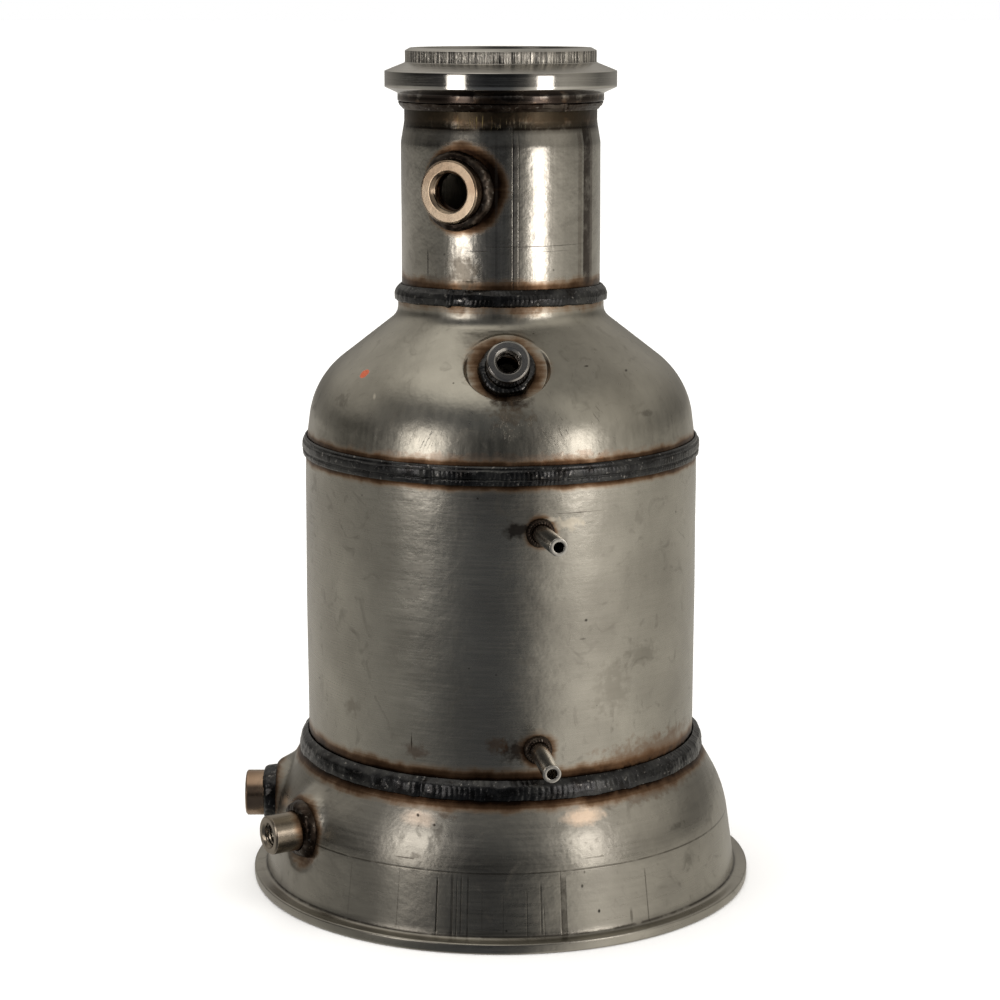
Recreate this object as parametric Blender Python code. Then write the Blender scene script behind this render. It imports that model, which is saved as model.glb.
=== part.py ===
# Diesel particulate filter of a heavy truck, standing on its inlet flange.
# A wall-flow brick is packed in a can between a bell-shaped inlet and a domed outlet
# with a clamped neck. Metres, +Z up, origin on the centre line in the plane of the
# inlet flange's face. Azimuths are degrees from -Y, positive towards +X.

from math import acos, ceil, cos, pi, radians, sin, tan

import bmesh
import bpy
from mathutils import Matrix, Vector

# Clearance between pieces that touch
SEAT_GAP = 0.0003

# Facets of the turned pieces, and how finely their fillets are divided
SHELL_FACETS = 48
BOSS_FACETS = 24
TAP_FACETS = 12
CHORD_ERROR = 0.0003
COARSEST_SAG = 0.3
EDGE_SHARE = 0.48
MERGE_DISTANCE = 0.000001
SHARP_ANGLE = 35.0

# Can, as long as its brick and the empty stretches below and above it
CAN_DIAMETER = 0.2032
CAN_WALL = 0.0015
CAN_IN_BELL = 0.0095
CAN_BELOW_BRICK = 0.0320
CAN_ABOVE_BRICK = 0.0277

# Inlet bell and its formed lip
BELL_WALL = 0.0018
BELL_HEIGHT = 0.0755
BELL_COLLAR = 0.0020
BELL_COLLAR_RADIUS = 0.0050
BELL_WAIST_SHARE = 0.708
BELL_WAIST_HEIGHT = 0.0465
BELL_WAIST_RADIUS = 0.0630
LIP_DIAMETER = 0.2632
LIP_WIDTH = 0.00685
LIP_THICKNESS = 0.0054
LIP_ROOT_RADIUS = 0.0025
LIP_TOP_RADIUS = 0.0010
LIP_BASE_RADIUS = 0.0014

# Outlet dome
DOME_WALL = 0.0018
DOME_HEIGHT = 0.0815
DOME_COLLAR = 0.0101
DOME_COLLAR_RADIUS = 0.0080
DOME_SHOULDER_WIDTH = 0.0050
DOME_SHOULDER_HEIGHT = 0.0376
DOME_SHOULDER_RADIUS = 0.0620

# Round pad pressed into the dome, the seat of the dome's sensor boss
PAD_DIAMETER = 0.0420
PAD_AZIMUTH = 2.4
PAD_BELOW_COLLAR = 0.0174
PAD_TILT = 36.0
PAD_DEPTH = 0.0050
PAD_BACKING = 0.0140

# Neck tube, necked down at its top
NECK_DIAMETER = 0.1016
NECK_WALL = 0.0016
NECK_LENGTH = 0.1121
NECK_IN_DOME = 0.0095
NECK_STEP = 0.0018
NECK_SHOULDER_LOW = 0.0255
NECK_SHOULDER_HIGH = 0.0150

# Outlet flange, machined for a V-band clamp, with a socket round the neck's end
FLANGE_SOCKET = 0.0052
FLANGE_STOP_WIDTH = 0.0055
FLANGE_HUB_WALL = 0.0034
FLANGE_HUB_HEIGHT = 0.0040
FLANGE_RIM_WIDTH = 0.0065
FLANGE_RIM_LOW = 0.0070
FLANGE_RIM_HIGH = 0.0150
FLANGE_CONE_HIGH = 0.0192
FLANGE_HEIGHT = 0.0265
PILOT_WALL = 0.0050
PILOT_BEVEL_WIDTH = 0.0026
PILOT_BEVEL_HEIGHT = 0.0014
BORE_CHAMFER = 0.0005

# Weld bead under the outlet flange
FLANGE_BEAD_HEIGHT = 0.0042
FLANGE_BEAD_WIDTH = 0.0029
FLANGE_BEAD_CROWN_WIDTH = 0.0020
FLANGE_BEAD_CROWN_DROP = 0.0015

# Weld bead between the neck and the dome
BEAD_ON_NECK = 0.0066
BEAD_ON_DOME_COLLAR = 0.0054
NECK_BEAD_CROWN = 0.0018
NECK_BEAD_TOE = 0.0011

# Weld bead between the dome and the can
DOME_BEAD_WIDTH = 0.0096
DOME_BEAD_CROWN = 0.0008
DOME_BEAD_FLAT = 0.0038

# Weld bead between the can and the bell
BEAD_ON_CAN = 0.0060
BEAD_ON_BELL = 0.0070
BELL_BEAD_CROWN = 0.0022
BELL_BEAD_CROWN_WIDTH = 0.0011
BELL_BEAD_CROWN_RISE = 0.0024
BELL_BEAD_GAP = 0.00036

# Beads round the bosses, in shares of their reach and rise
FILLET_TOE = 0.30
FILLET_CROWN_OUT = 0.62
FILLET_CROWN_UP = 0.84

# Wall-flow brick, its support mat and the knitted seals at the mat's ends
MAT_THICKNESS = 0.00485
BRICK_LENGTH = 0.1016
CHANNEL_PITCH = 0.0150
CHANNEL_WALL = 0.0042
PLUG_LENGTH = 0.0100
BRICK_SKIN = 0.0015
SEAL_LENGTH = 0.0050

# Neck sensor boss
NECK_BOSS_DIAMETER = 0.0314
NECK_BOSS_BORE = 0.0186
NECK_BOSS_CHAMFER = 0.0009
NECK_BOSS_LENGTH = 0.0077
NECK_BOSS_INSET = 0.0032
NECK_BOSS_AZIMUTH = -26.4
NECK_BOSS_DROP = 0.0474
NECK_BOSS_WELD_REACH = 0.0046
NECK_BOSS_WELD_RISE = 0.0040

# Dome sensor boss, which leans out of its pad
DOME_BOSS_DIAMETER = 0.0209
DOME_BOSS_BORE = 0.0111
DOME_BOSS_CHAMFER = 0.0008
DOME_BOSS_LENGTH = 0.0180
DOME_BOSS_INSET = 0.0070
DOME_BOSS_TILT = 24.0
DOME_BOSS_WELD_REACH = 0.0036
DOME_BOSS_WELD_RISE = 0.0050

# Front boss on the bell
FRONT_BOSS_DIAMETER = 0.0200
FRONT_BOSS_BORE = 0.0113
FRONT_BOSS_CHAMFER = 0.0005
FRONT_BOSS_LENGTH = 0.0200
FRONT_BOSS_INSET = 0.0054
FRONT_BOSS_AZIMUTH = -58.3
FRONT_BOSS_HEIGHT = 0.0413
FRONT_BOSS_WELD_REACH = 0.0042
FRONT_BOSS_WELD_RISE = 0.0060

# Rear boss on the bell
REAR_BOSS_DIAMETER = 0.0240
REAR_BOSS_BORE = 0.0140
REAR_BOSS_CHAMFER = 0.0005
REAR_BOSS_LENGTH = 0.0168
REAR_BOSS_INSET = 0.0054
REAR_BOSS_AZIMUTH = -90.0
REAR_BOSS_HEIGHT = 0.0410
REAR_BOSS_WELD_REACH = 0.0028
REAR_BOSS_WELD_RISE = 0.0080

# Pressure taps, one on either side of the brick
TAP_DIAMETER = 0.0090
TAP_BORE = 0.0052
TAP_CHAMFER = 0.0005
TAP_INSET = 0.0015
TAP_WELD_REACH = 0.0022
TAP_WELD_RISE = 0.0024
UPPER_TAP_LENGTH = 0.0340
UPPER_TAP_STANDOFF = 0.0039
UPPER_TAP_AZIMUTH = 10.9
UPPER_TAP_LEAN = 3.1
LOWER_TAP_LENGTH = 0.0350
LOWER_TAP_STANDOFF = 0.0035
LOWER_TAP_AZIMUTH = 10.4
LOWER_TAP_DROOP = 3.0

# Radii and heights that follow from them
CAN_RADIUS = CAN_DIAMETER / 2
BRICK_RADIUS = CAN_RADIUS - CAN_WALL - MAT_THICKNESS
BELL_COLLAR_OUTER = CAN_RADIUS + SEAT_GAP + BELL_WALL
BELL_FOOT_RADIUS = LIP_DIAMETER / 2 - LIP_WIDTH
BELL_WAIST_OUTER = BELL_COLLAR_OUTER + BELL_WAIST_SHARE * (BELL_FOOT_RADIUS - BELL_COLLAR_OUTER)
NECK_RADIUS = NECK_DIAMETER / 2
NECK_TOP_RADIUS = NECK_RADIUS - NECK_STEP
DOME_COLLAR_OUTER = NECK_RADIUS + SEAT_GAP + DOME_WALL
CAN_BASE = BELL_HEIGHT - CAN_IN_BELL
BRICK_BASE = CAN_BASE + CAN_BELOW_BRICK
BRICK_TOP = BRICK_BASE + BRICK_LENGTH
CAN_TOP = BRICK_TOP + CAN_ABOVE_BRICK
DOME_BASE = CAN_TOP + SEAT_GAP
DOME_TOP = DOME_BASE + DOME_HEIGHT
DOME_COLLAR_BASE = DOME_TOP - DOME_COLLAR
NECK_BASE = DOME_TOP - NECK_IN_DOME
NECK_TOP = NECK_BASE + NECK_LENGTH
FLANGE_BASE = NECK_TOP + SEAT_GAP - FLANGE_SOCKET


def clear_scene():
    for old in list(bpy.data.objects):
        bpy.data.objects.remove(old, do_unlink=True)


def finish(name, colour, metallic, roughness):
    """Principled material in one colour."""
    material = bpy.data.materials.new(name)
    material.use_nodes = True
    shader = material.node_tree.nodes["Principled BSDF"]
    shader.inputs["Base Color"].default_value = (*colour, 1.0)
    shader.inputs["Metallic"].default_value = metallic
    shader.inputs["Roughness"].default_value = roughness
    material.diffuse_color = (*colour, 1.0)
    return material


# Outlines in (radius, height), each corner with its fillet's radius

def rounded(corners, closed=True):
    """The outline's points, with each corner's fillet as an arc of few chords."""
    points = []
    for index, (radius, height, fillet) in enumerate(corners):
        here = Vector((radius, height))
        at_end = not closed and index in (0, len(corners) - 1)
        if not fillet or at_end:
            points.append(here)
            continue
        back = Vector(corners[index - 1][:2]) - here
        onward = Vector(corners[(index + 1) % len(corners)][:2]) - here
        half = back.angle(onward) / 2
        reach = min(fillet / tan(half), EDGE_SHARE * back.length, EDGE_SHARE * onward.length)
        bend = reach * tan(half)
        turn = pi - 2 * half
        chord = 2 * acos(1 - min(CHORD_ERROR / bend, COARSEST_SAG))
        steps = max(1, ceil(turn / chord))
        inward = (back.normalized() + onward.normalized()).normalized()
        centre = here + inward * bend / sin(half)
        spoke = here + back.normalized() * reach - centre
        side = -1 if back.cross(onward) > 0 else 1
        for step in range(steps + 1):
            points.append(centre + Matrix.Rotation(side * turn * step / steps, 2) @ spoke)
    return points


def offset(corners, distance):
    """A climbing outline moved outwards by the distance, cut level at its ends."""
    ways = [(Vector(b[:2]) - Vector(a[:2])).normalized() for a, b in zip(corners, corners[1:])]
    normals = [Vector((way.y, -way.x)) for way in ways]
    moved = [(corners[0][0] + distance / normals[0].x, corners[0][1], 0.0)]
    for corner, before, after, way, onward in zip(corners[1:], normals, normals[1:], ways, ways[1:]):
        shift = (before + after) * distance / (1 + before.dot(after))
        grown = distance if way.cross(onward) > 0 else -distance
        fillet = max(corner[2] + grown, 0.0) if corner[2] else 0.0
        moved.append((corner[0] + shift.x, corner[1] + shift.y, fillet))
    moved.append((corners[-1][0] + distance / normals[-1].x, corners[-1][1], 0.0))
    return moved


def radius_at(corners, height):
    """The outline's radius at a height."""
    points = rounded(corners, closed=False)
    for low, high in zip(points, points[1:]):
        if low.y <= height <= high.y:
            share = (height - low.y) / (high.y - low.y)
            return low.x + share * (high.x - low.x)
    return points[-1].x


def block(inner, outer, low, high):
    """A plain rectangular section."""
    return [(inner, low, 0.0), (outer, low, 0.0), (outer, high, 0.0), (inner, high, 0.0)]


# Solids

def place(name, shape, material, frame=None):
    """Puts a shape into the scene: smooth with its material, or a flat-faced cutter."""
    bmesh.ops.recalc_face_normals(shape, faces=shape.faces)
    mesh = bpy.data.meshes.new(name)
    shape.to_mesh(mesh)
    shape.free()
    solid = bpy.data.objects.new(name, mesh)
    bpy.context.collection.objects.link(solid)
    if frame is not None:
        solid.matrix_world = frame
    if material is None:
        solid.display_type = "WIRE"
        solid.hide_render = True
    else:
        mesh.shade_smooth()
        mesh.set_sharp_from_angle(angle=radians(SHARP_ANGLE))
        mesh.materials.append(material)
    return solid


def turned(name, corners, material=None, facets=SHELL_FACETS, frame=None):
    """A closed section spun round the frame's Z axis. No material makes a cutter."""
    shape = bmesh.new()
    points = [shape.verts.new((point.x, 0.0, point.y)) for point in rounded(corners)]
    edges = [shape.edges.new(pair) for pair in zip(points, points[1:] + points[:1])
             if max(pair[0].co.x, pair[1].co.x) > 0]
    bmesh.ops.spin(shape, geom=points + edges, cent=(0, 0, 0), axis=(0, 0, 1),
                   angle=2 * pi, steps=facets, use_merge=True)
    bmesh.ops.remove_doubles(shape, verts=shape.verts, dist=MERGE_DISTANCE)
    return place(name, shape, material, frame)


def combine(target, operation, *tools):
    for tool in tools:
        step = target.modifiers.new(operation.lower(), "BOOLEAN")
        step.operation = operation
        step.solver = "EXACT"
        step.object = tool


def skin(name, climbing):
    """A cutter filled to the axis, a seat's gap outside a shell's outer face."""
    grown = offset(climbing, SEAT_GAP)
    base = (0.0, grown[0][1], 0.0)
    top = (0.0, grown[-1][1], 0.0)
    return turned(name, [base, *grown, top])


def aim(azimuth, tilt, radius, height):
    """The frame of a boss: origin on the shell, Z outwards, X level."""
    turn = Matrix.Rotation(radians(azimuth), 4, "Z")
    lean = Matrix.Rotation(radians(90.0 - tilt), 4, "X")
    return turn @ Matrix.Translation((0.0, -radius, height)) @ lean


def boss(name, frame, diameter, bore, chamfer, length, inset, material, facets=BOSS_FACETS):
    """A turned boss or tube through its shell, and the cutter for its hole."""
    outer = diameter / 2
    inner = bore / 2
    section = [
        (inner, -inset, 0.0),
        (outer, -inset, 0.0),
        (outer, length - chamfer / 2, 0.0),
        (outer - chamfer / 2, length, 0.0),
        (inner + chamfer, length, 0.0),
        (inner, length - chamfer, 0.0),
    ]
    turned(name, section, material, facets, frame)
    return turned(name + "_hole", block(0.0, outer + SEAT_GAP, -length, length), None, facets, frame)


def fillet_weld(name, frame, diameter, reach, rise, shell, material, facets=BOSS_FACETS):
    """A bead round a boss, its underside trimmed to the shell that it lies on."""
    inner = diameter / 2 + SEAT_GAP
    depth = diameter / 2
    section = [
        (inner, -depth, 0.0),
        (inner + reach, -depth, 0.0),
        (inner + reach, rise * FILLET_TOE, 0.0),
        (inner + reach * FILLET_CROWN_OUT, rise * FILLET_CROWN_UP, 0.0),
        (inner, rise, 0.0),
    ]
    bead = turned(name, section, material, facets, frame)
    combine(bead, "DIFFERENCE", shell)


# Finishes

def make_finishes():
    return {
        "can": finish("satin_stainless_can", (0.30, 0.28, 0.25), 1.0, 0.34),
        "dome": finish("satin_stainless_dome", (0.32, 0.30, 0.26), 1.0, 0.36),
        "bell": finish("satin_stainless_bell", (0.27, 0.25, 0.22), 1.0, 0.33),
        "neck": finish("drawn_stainless_tube", (0.30, 0.28, 0.24), 1.0, 0.28),
        "flange": finish("machined_stainless_flange", (0.40, 0.38, 0.35), 1.0, 0.20),
        "boss": finish("machined_stainless_boss", (0.38, 0.35, 0.31), 1.0, 0.26),
        "tap": finish("stainless_tap_tube", (0.36, 0.35, 0.33), 1.0, 0.24),
        "weld": finish("graphite_grey_weld", (0.055, 0.052, 0.050), 1.0, 0.48),
        "brick": finish("grey_silicon_carbide", (0.16, 0.15, 0.15), 0.0, 0.90),
        "mat": finish("ceramic_fibre_mat", (0.62, 0.55, 0.42), 0.0, 0.95),
        "seal": finish("knitted_wire_seal", (0.30, 0.29, 0.28), 1.0, 0.55),
    }


# The pieces, from the top down

def neck_flange(finishes):
    socket = NECK_TOP_RADIUS + SEAT_GAP
    hub = NECK_TOP_RADIUS + FLANGE_HUB_WALL
    rim = hub + FLANGE_RIM_WIDTH
    bore = NECK_TOP_RADIUS - FLANGE_STOP_WIDTH
    pilot = bore + PILOT_WALL
    steps = [
        (socket, 0.0),
        (hub, 0.0),
        (hub, FLANGE_HUB_HEIGHT),
        (rim, FLANGE_RIM_LOW),
        (rim, FLANGE_RIM_HIGH),
        (pilot, FLANGE_CONE_HIGH),
        (pilot, FLANGE_HEIGHT - PILOT_BEVEL_HEIGHT),
        (pilot - PILOT_BEVEL_WIDTH, FLANGE_HEIGHT),
        (bore + BORE_CHAMFER, FLANGE_HEIGHT),
        (bore, FLANGE_HEIGHT - BORE_CHAMFER),
        (bore, FLANGE_SOCKET),
        (socket, FLANGE_SOCKET),
    ]
    section = [(radius, FLANGE_BASE + height, 0.0) for radius, height in steps]
    turned("neck_flange", section, finishes["flange"])
    top = FLANGE_BASE - SEAT_GAP
    bead = [
        (socket, top, 0.0),
        (socket, top - FLANGE_BEAD_HEIGHT, 0.0),
        (socket + FLANGE_BEAD_CROWN_WIDTH, top - FLANGE_BEAD_CROWN_DROP, 0.0),
        (socket + FLANGE_BEAD_WIDTH, top, 0.0),
    ]
    turned("neck_flange_weld", bead, finishes["weld"])


def neck_outline():
    return [
        (NECK_RADIUS, NECK_BASE, 0.0),
        (NECK_RADIUS, NECK_TOP - NECK_SHOULDER_LOW, 0.0),
        (NECK_TOP_RADIUS, NECK_TOP - NECK_SHOULDER_HIGH, 0.0),
        (NECK_TOP_RADIUS, NECK_TOP, 0.0),
    ]


def neck_tube(finishes):
    outer = neck_outline()
    tube = turned("neck_tube", outer + offset(outer, -NECK_WALL)[::-1], finishes["neck"])
    height = NECK_TOP - NECK_BOSS_DROP
    frame = aim(NECK_BOSS_AZIMUTH, 0.0, radius_at(outer, height), height)
    hole = boss("neck_sensor_boss", frame, NECK_BOSS_DIAMETER, NECK_BOSS_BORE,
                NECK_BOSS_CHAMFER, NECK_BOSS_LENGTH, NECK_BOSS_INSET, finishes["boss"])
    combine(tube, "DIFFERENCE", hole)
    fillet_weld("neck_sensor_boss_weld", frame, NECK_BOSS_DIAMETER, NECK_BOSS_WELD_REACH,
                NECK_BOSS_WELD_RISE, skin("neck_skin", outer), finishes["weld"])


def neck_weld(finishes):
    on_neck = NECK_RADIUS + SEAT_GAP
    on_collar = DOME_COLLAR_OUTER + SEAT_GAP
    crown = on_collar + NECK_BEAD_CROWN
    step = DOME_TOP + SEAT_GAP
    low = DOME_TOP - BEAD_ON_DOME_COLLAR
    section = [
        (on_neck, step, 0.0),
        (on_collar, step, 0.0),
        (on_collar, low, 0.0),
        (crown, low + NECK_BEAD_TOE, 0.0),
        (crown, DOME_TOP, 0.0),
        (on_neck, DOME_TOP + BEAD_ON_NECK, 0.0),
    ]
    turned("neck_weld", section, finishes["weld"])


def dome_outline():
    return [
        (CAN_RADIUS, DOME_BASE, 0.0),
        (CAN_RADIUS - DOME_SHOULDER_WIDTH, DOME_BASE + DOME_SHOULDER_HEIGHT, DOME_SHOULDER_RADIUS),
        (DOME_COLLAR_OUTER, DOME_COLLAR_BASE, DOME_COLLAR_RADIUS),
        (DOME_COLLAR_OUTER, DOME_TOP, 0.0),
    ]


def pressed(name, path, frame, floor, bore, backing, material=None):
    """A filled dome with the round pad pressed in: bored down to the pad's floor,
    and built up to it where the dome falls away below it."""
    low = (0.0, path[0][1], 0.0)
    high = (0.0, path[-1][1], 0.0)
    body = turned(name, [low, *path, high], material)
    above = block(0.0, bore, floor, PAD_DIAMETER)
    below = block(0.0, backing, floor - PAD_BACKING, floor)
    combine(body, "DIFFERENCE", turned(name + "_bore", above, None, BOSS_FACETS, frame))
    combine(body, "UNION", turned(name + "_backing", below, None, BOSS_FACETS, frame))
    return body


def dome_cone(finishes):
    outer = dome_outline()
    height = DOME_COLLAR_BASE - PAD_BELOW_COLLAR
    pad = aim(PAD_AZIMUTH, PAD_TILT, radius_at(outer, height), height)
    radius = PAD_DIAMETER / 2
    dome = pressed("dome_cone", outer, pad, -PAD_DEPTH, radius, radius, finishes["dome"])
    inner = offset(outer, -DOME_WALL)
    foot = (inner[0][0], DOME_BASE - DOME_WALL, 0.0)
    head = (inner[-1][0], DOME_TOP + DOME_WALL, 0.0)
    inside = pressed("dome_inside", [foot, *inner, head], pad, -PAD_DEPTH - DOME_WALL,
                     radius + DOME_WALL, radius - DOME_WALL)
    combine(dome, "DIFFERENCE", inside)
    seat = pad @ Vector((0.0, 0.0, -PAD_DEPTH))
    frame = aim(PAD_AZIMUTH, DOME_BOSS_TILT, seat.xy.length, seat.z)
    hole = boss("dome_sensor_boss", frame, DOME_BOSS_DIAMETER, DOME_BOSS_BORE, DOME_BOSS_CHAMFER,
                DOME_BOSS_LENGTH, DOME_BOSS_INSET, finishes["boss"])
    combine(dome, "DIFFERENCE", hole)
    floor = SEAT_GAP - PAD_DEPTH
    ground = turned("pad_floor", block(0.0, PAD_DIAMETER, floor - PAD_DIAMETER, floor), None,
                    BOSS_FACETS, pad)
    fillet_weld("dome_sensor_boss_weld", frame, DOME_BOSS_DIAMETER, DOME_BOSS_WELD_REACH,
                DOME_BOSS_WELD_RISE, ground, finishes["weld"])


def dome_weld(finishes):
    half = DOME_BEAD_WIDTH / 2
    outline = offset(dome_outline(), SEAT_GAP)
    on_can = CAN_RADIUS + SEAT_GAP
    on_dome = radius_at(outline, DOME_BASE + half)
    crown = on_can + DOME_BEAD_CROWN
    section = [
        (on_can, CAN_TOP - half, 0.0),
        (crown, CAN_TOP - DOME_BEAD_FLAT / 2, 0.0),
        (crown, CAN_TOP + DOME_BEAD_FLAT / 2, 0.0),
        (on_dome, DOME_BASE + half, 0.0),
        (on_can, CAN_TOP, 0.0),
    ]
    turned("dome_weld", section, finishes["weld"])


def can_outline():
    return [(CAN_RADIUS, CAN_BASE, 0.0), (CAN_RADIUS, CAN_TOP, 0.0)]


def filter_can(finishes):
    outer = can_outline()
    can = turned("filter_can", outer + offset(outer, -CAN_WALL)[::-1], finishes["can"])
    cover = skin("can_skin", outer)
    upper = aim(UPPER_TAP_AZIMUTH, 0.0, CAN_RADIUS, BRICK_TOP + UPPER_TAP_STANDOFF)
    upper = upper @ Matrix.Rotation(radians(UPPER_TAP_LEAN), 4, "Y")
    lower = aim(LOWER_TAP_AZIMUTH, -LOWER_TAP_DROOP, CAN_RADIUS, BRICK_BASE - LOWER_TAP_STANDOFF)
    for name, frame, length in (
        ("upper_pressure_tap", upper, UPPER_TAP_LENGTH),
        ("lower_pressure_tap", lower, LOWER_TAP_LENGTH),
    ):
        hole = boss(name, frame, TAP_DIAMETER, TAP_BORE, TAP_CHAMFER, length, TAP_INSET,
                    finishes["tap"], TAP_FACETS)
        combine(can, "DIFFERENCE", hole)
        fillet_weld(name + "_weld", frame, TAP_DIAMETER, TAP_WELD_REACH, TAP_WELD_RISE,
                    cover, finishes["weld"], TAP_FACETS)


def filter_brick(finishes):
    """Square channels, open at one end and plugged at the other by turns."""
    solid = block(0.0, BRICK_RADIUS, BRICK_BASE, BRICK_TOP)
    brick = turned("filter_brick", solid, finishes["brick"])
    width = CHANNEL_PITCH - CHANNEL_WALL
    depth = BRICK_LENGTH - PLUG_LENGTH
    limit = (BRICK_RADIUS - BRICK_SKIN) * cos(pi / SHELL_FACETS)
    reach = int(BRICK_RADIUS / CHANNEL_PITCH) + 1
    shape = bmesh.new()
    for column in range(-reach, reach + 1):
        for row in range(-reach, reach + 1):
            across = column * CHANNEL_PITCH
            along = row * CHANNEL_PITCH
            if Vector((abs(across) + width / 2, abs(along) + width / 2)).length > limit:
                continue
            open_end = BRICK_BASE if (column + row) % 2 == 0 else BRICK_TOP
            channel = bmesh.ops.create_cube(shape, size=1.0)["verts"]
            bmesh.ops.scale(shape, vec=(width, width, 2 * depth), verts=channel)
            bmesh.ops.translate(shape, vec=(across, along, open_end), verts=channel)
    combine(brick, "DIFFERENCE", place("brick_channels", shape, None))


def packing(finishes):
    inner = BRICK_RADIUS + SEAT_GAP
    outer = CAN_RADIUS - CAN_WALL - SEAT_GAP
    low = BRICK_BASE + SEAL_LENGTH
    high = BRICK_TOP - SEAL_LENGTH
    turned("mat_seal_lower", block(inner, outer, BRICK_BASE, low), finishes["seal"])
    turned("support_mat", block(inner, outer, low + SEAT_GAP, high - SEAT_GAP), finishes["mat"])
    turned("mat_seal_upper", block(inner, outer, high, BRICK_TOP), finishes["seal"])


def bell_outline():
    return [
        (BELL_FOOT_RADIUS, LIP_THICKNESS, 0.0),
        (BELL_WAIST_OUTER, BELL_WAIST_HEIGHT, BELL_WAIST_RADIUS),
        (BELL_COLLAR_OUTER, BELL_HEIGHT - BELL_COLLAR, BELL_COLLAR_RADIUS),
        (BELL_COLLAR_OUTER, BELL_HEIGHT, 0.0),
    ]


def bell_weld(finishes):
    on_can = CAN_RADIUS + SEAT_GAP
    on_collar = BELL_COLLAR_OUTER + SEAT_GAP
    skirt = offset(bell_outline(), BELL_BEAD_GAP)
    low = BELL_HEIGHT - BEAD_ON_BELL
    top = BELL_HEIGHT + BEAD_ON_CAN
    crown = on_collar + BELL_BEAD_CROWN
    section = [
        (on_can, BELL_HEIGHT + SEAT_GAP, 0.0),
        (on_collar, BELL_HEIGHT + SEAT_GAP, 0.0),
        (on_collar, BELL_HEIGHT - BELL_COLLAR, 0.0),
        (radius_at(skirt, low), low, 0.0),
        (crown, BELL_HEIGHT - BELL_COLLAR, 0.0),
        (on_collar + BELL_BEAD_CROWN_WIDTH, BELL_HEIGHT + BELL_BEAD_CROWN_RISE, 0.0),
        (on_can, top, 0.0),
    ]
    turned("bell_weld", section, finishes["weld"])


def bell_cone(finishes):
    outer = bell_outline()
    inner = offset(outer, -BELL_WALL)
    slope = (inner[0][0] - inner[1][0]) / (inner[1][1] - inner[0][1])
    mouth = (inner[0][0] + slope * LIP_THICKNESS, 0.0, 0.0)
    lip = LIP_DIAMETER / 2
    section = [
        mouth,
        (lip, 0.0, LIP_BASE_RADIUS),
        (lip, LIP_THICKNESS, LIP_TOP_RADIUS),
        (outer[0][0], LIP_THICKNESS, LIP_ROOT_RADIUS),
        *outer[1:],
        *inner[:0:-1],
    ]
    bell = turned("bell_cone", section, finishes["bell"])
    cover = skin("bell_skin", outer)
    front = aim(FRONT_BOSS_AZIMUTH, 0.0, radius_at(outer, FRONT_BOSS_HEIGHT), FRONT_BOSS_HEIGHT)
    hole = boss("front_bell_boss", front, FRONT_BOSS_DIAMETER, FRONT_BOSS_BORE,
                FRONT_BOSS_CHAMFER, FRONT_BOSS_LENGTH, FRONT_BOSS_INSET, finishes["boss"])
    combine(bell, "DIFFERENCE", hole)
    fillet_weld("front_bell_boss_weld", front, FRONT_BOSS_DIAMETER, FRONT_BOSS_WELD_REACH,
                FRONT_BOSS_WELD_RISE, cover, finishes["weld"])
    rear = aim(REAR_BOSS_AZIMUTH, 0.0, radius_at(outer, REAR_BOSS_HEIGHT), REAR_BOSS_HEIGHT)
    hole = boss("rear_bell_boss", rear, REAR_BOSS_DIAMETER, REAR_BOSS_BORE,
                REAR_BOSS_CHAMFER, REAR_BOSS_LENGTH, REAR_BOSS_INSET, finishes["boss"])
    combine(bell, "DIFFERENCE", hole)
    fillet_weld("rear_bell_boss_weld", rear, REAR_BOSS_DIAMETER, REAR_BOSS_WELD_REACH,
                REAR_BOSS_WELD_RISE, cover, finishes["weld"])


def build():
    clear_scene()
    finishes = make_finishes()
    for piece in (neck_flange, neck_tube, neck_weld, dome_cone, dome_weld, filter_can,
                  filter_brick, packing, bell_weld, bell_cone):
        piece(finishes)


build()
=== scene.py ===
# Looks of a diesel particulate filter as it leaves the welding line: bare stainless shells
# with heat tint beside graphite-grey beads, on a pale floor in soft studio light.

from math import atan2, ceil, cos, exp, floor, hypot, pi, radians, sin, tan

import bmesh
import bpy
from mathutils import Matrix, Vector
from mathutils.bvhtree import BVHTree
from mathutils.noise import noise


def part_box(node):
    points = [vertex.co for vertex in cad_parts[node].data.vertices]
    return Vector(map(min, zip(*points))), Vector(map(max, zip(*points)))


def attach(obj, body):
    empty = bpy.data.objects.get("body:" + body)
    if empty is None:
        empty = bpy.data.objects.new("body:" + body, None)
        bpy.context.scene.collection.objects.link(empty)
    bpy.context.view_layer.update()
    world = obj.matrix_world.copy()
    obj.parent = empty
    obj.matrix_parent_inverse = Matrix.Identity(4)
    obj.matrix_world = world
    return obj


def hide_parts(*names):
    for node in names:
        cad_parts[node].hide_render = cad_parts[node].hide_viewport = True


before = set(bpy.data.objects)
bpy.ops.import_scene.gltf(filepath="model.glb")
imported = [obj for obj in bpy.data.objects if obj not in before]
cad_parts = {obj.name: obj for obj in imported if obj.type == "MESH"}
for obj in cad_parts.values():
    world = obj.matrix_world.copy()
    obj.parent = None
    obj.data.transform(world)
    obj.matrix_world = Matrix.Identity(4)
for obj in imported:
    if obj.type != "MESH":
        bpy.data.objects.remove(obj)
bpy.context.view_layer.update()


# Camera
# The photograph was taken from 1.3 m in front, level with the neck, looking down by 11 degrees
# through a lens of about 91 mm on a full frame.
CAMERA_PLACE = (0.0, -1.3, 0.456)
CAMERA_PITCH = 11.13
CAMERA_LENS = 91.22
CAMERA_SHIFT = -0.0008

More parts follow.
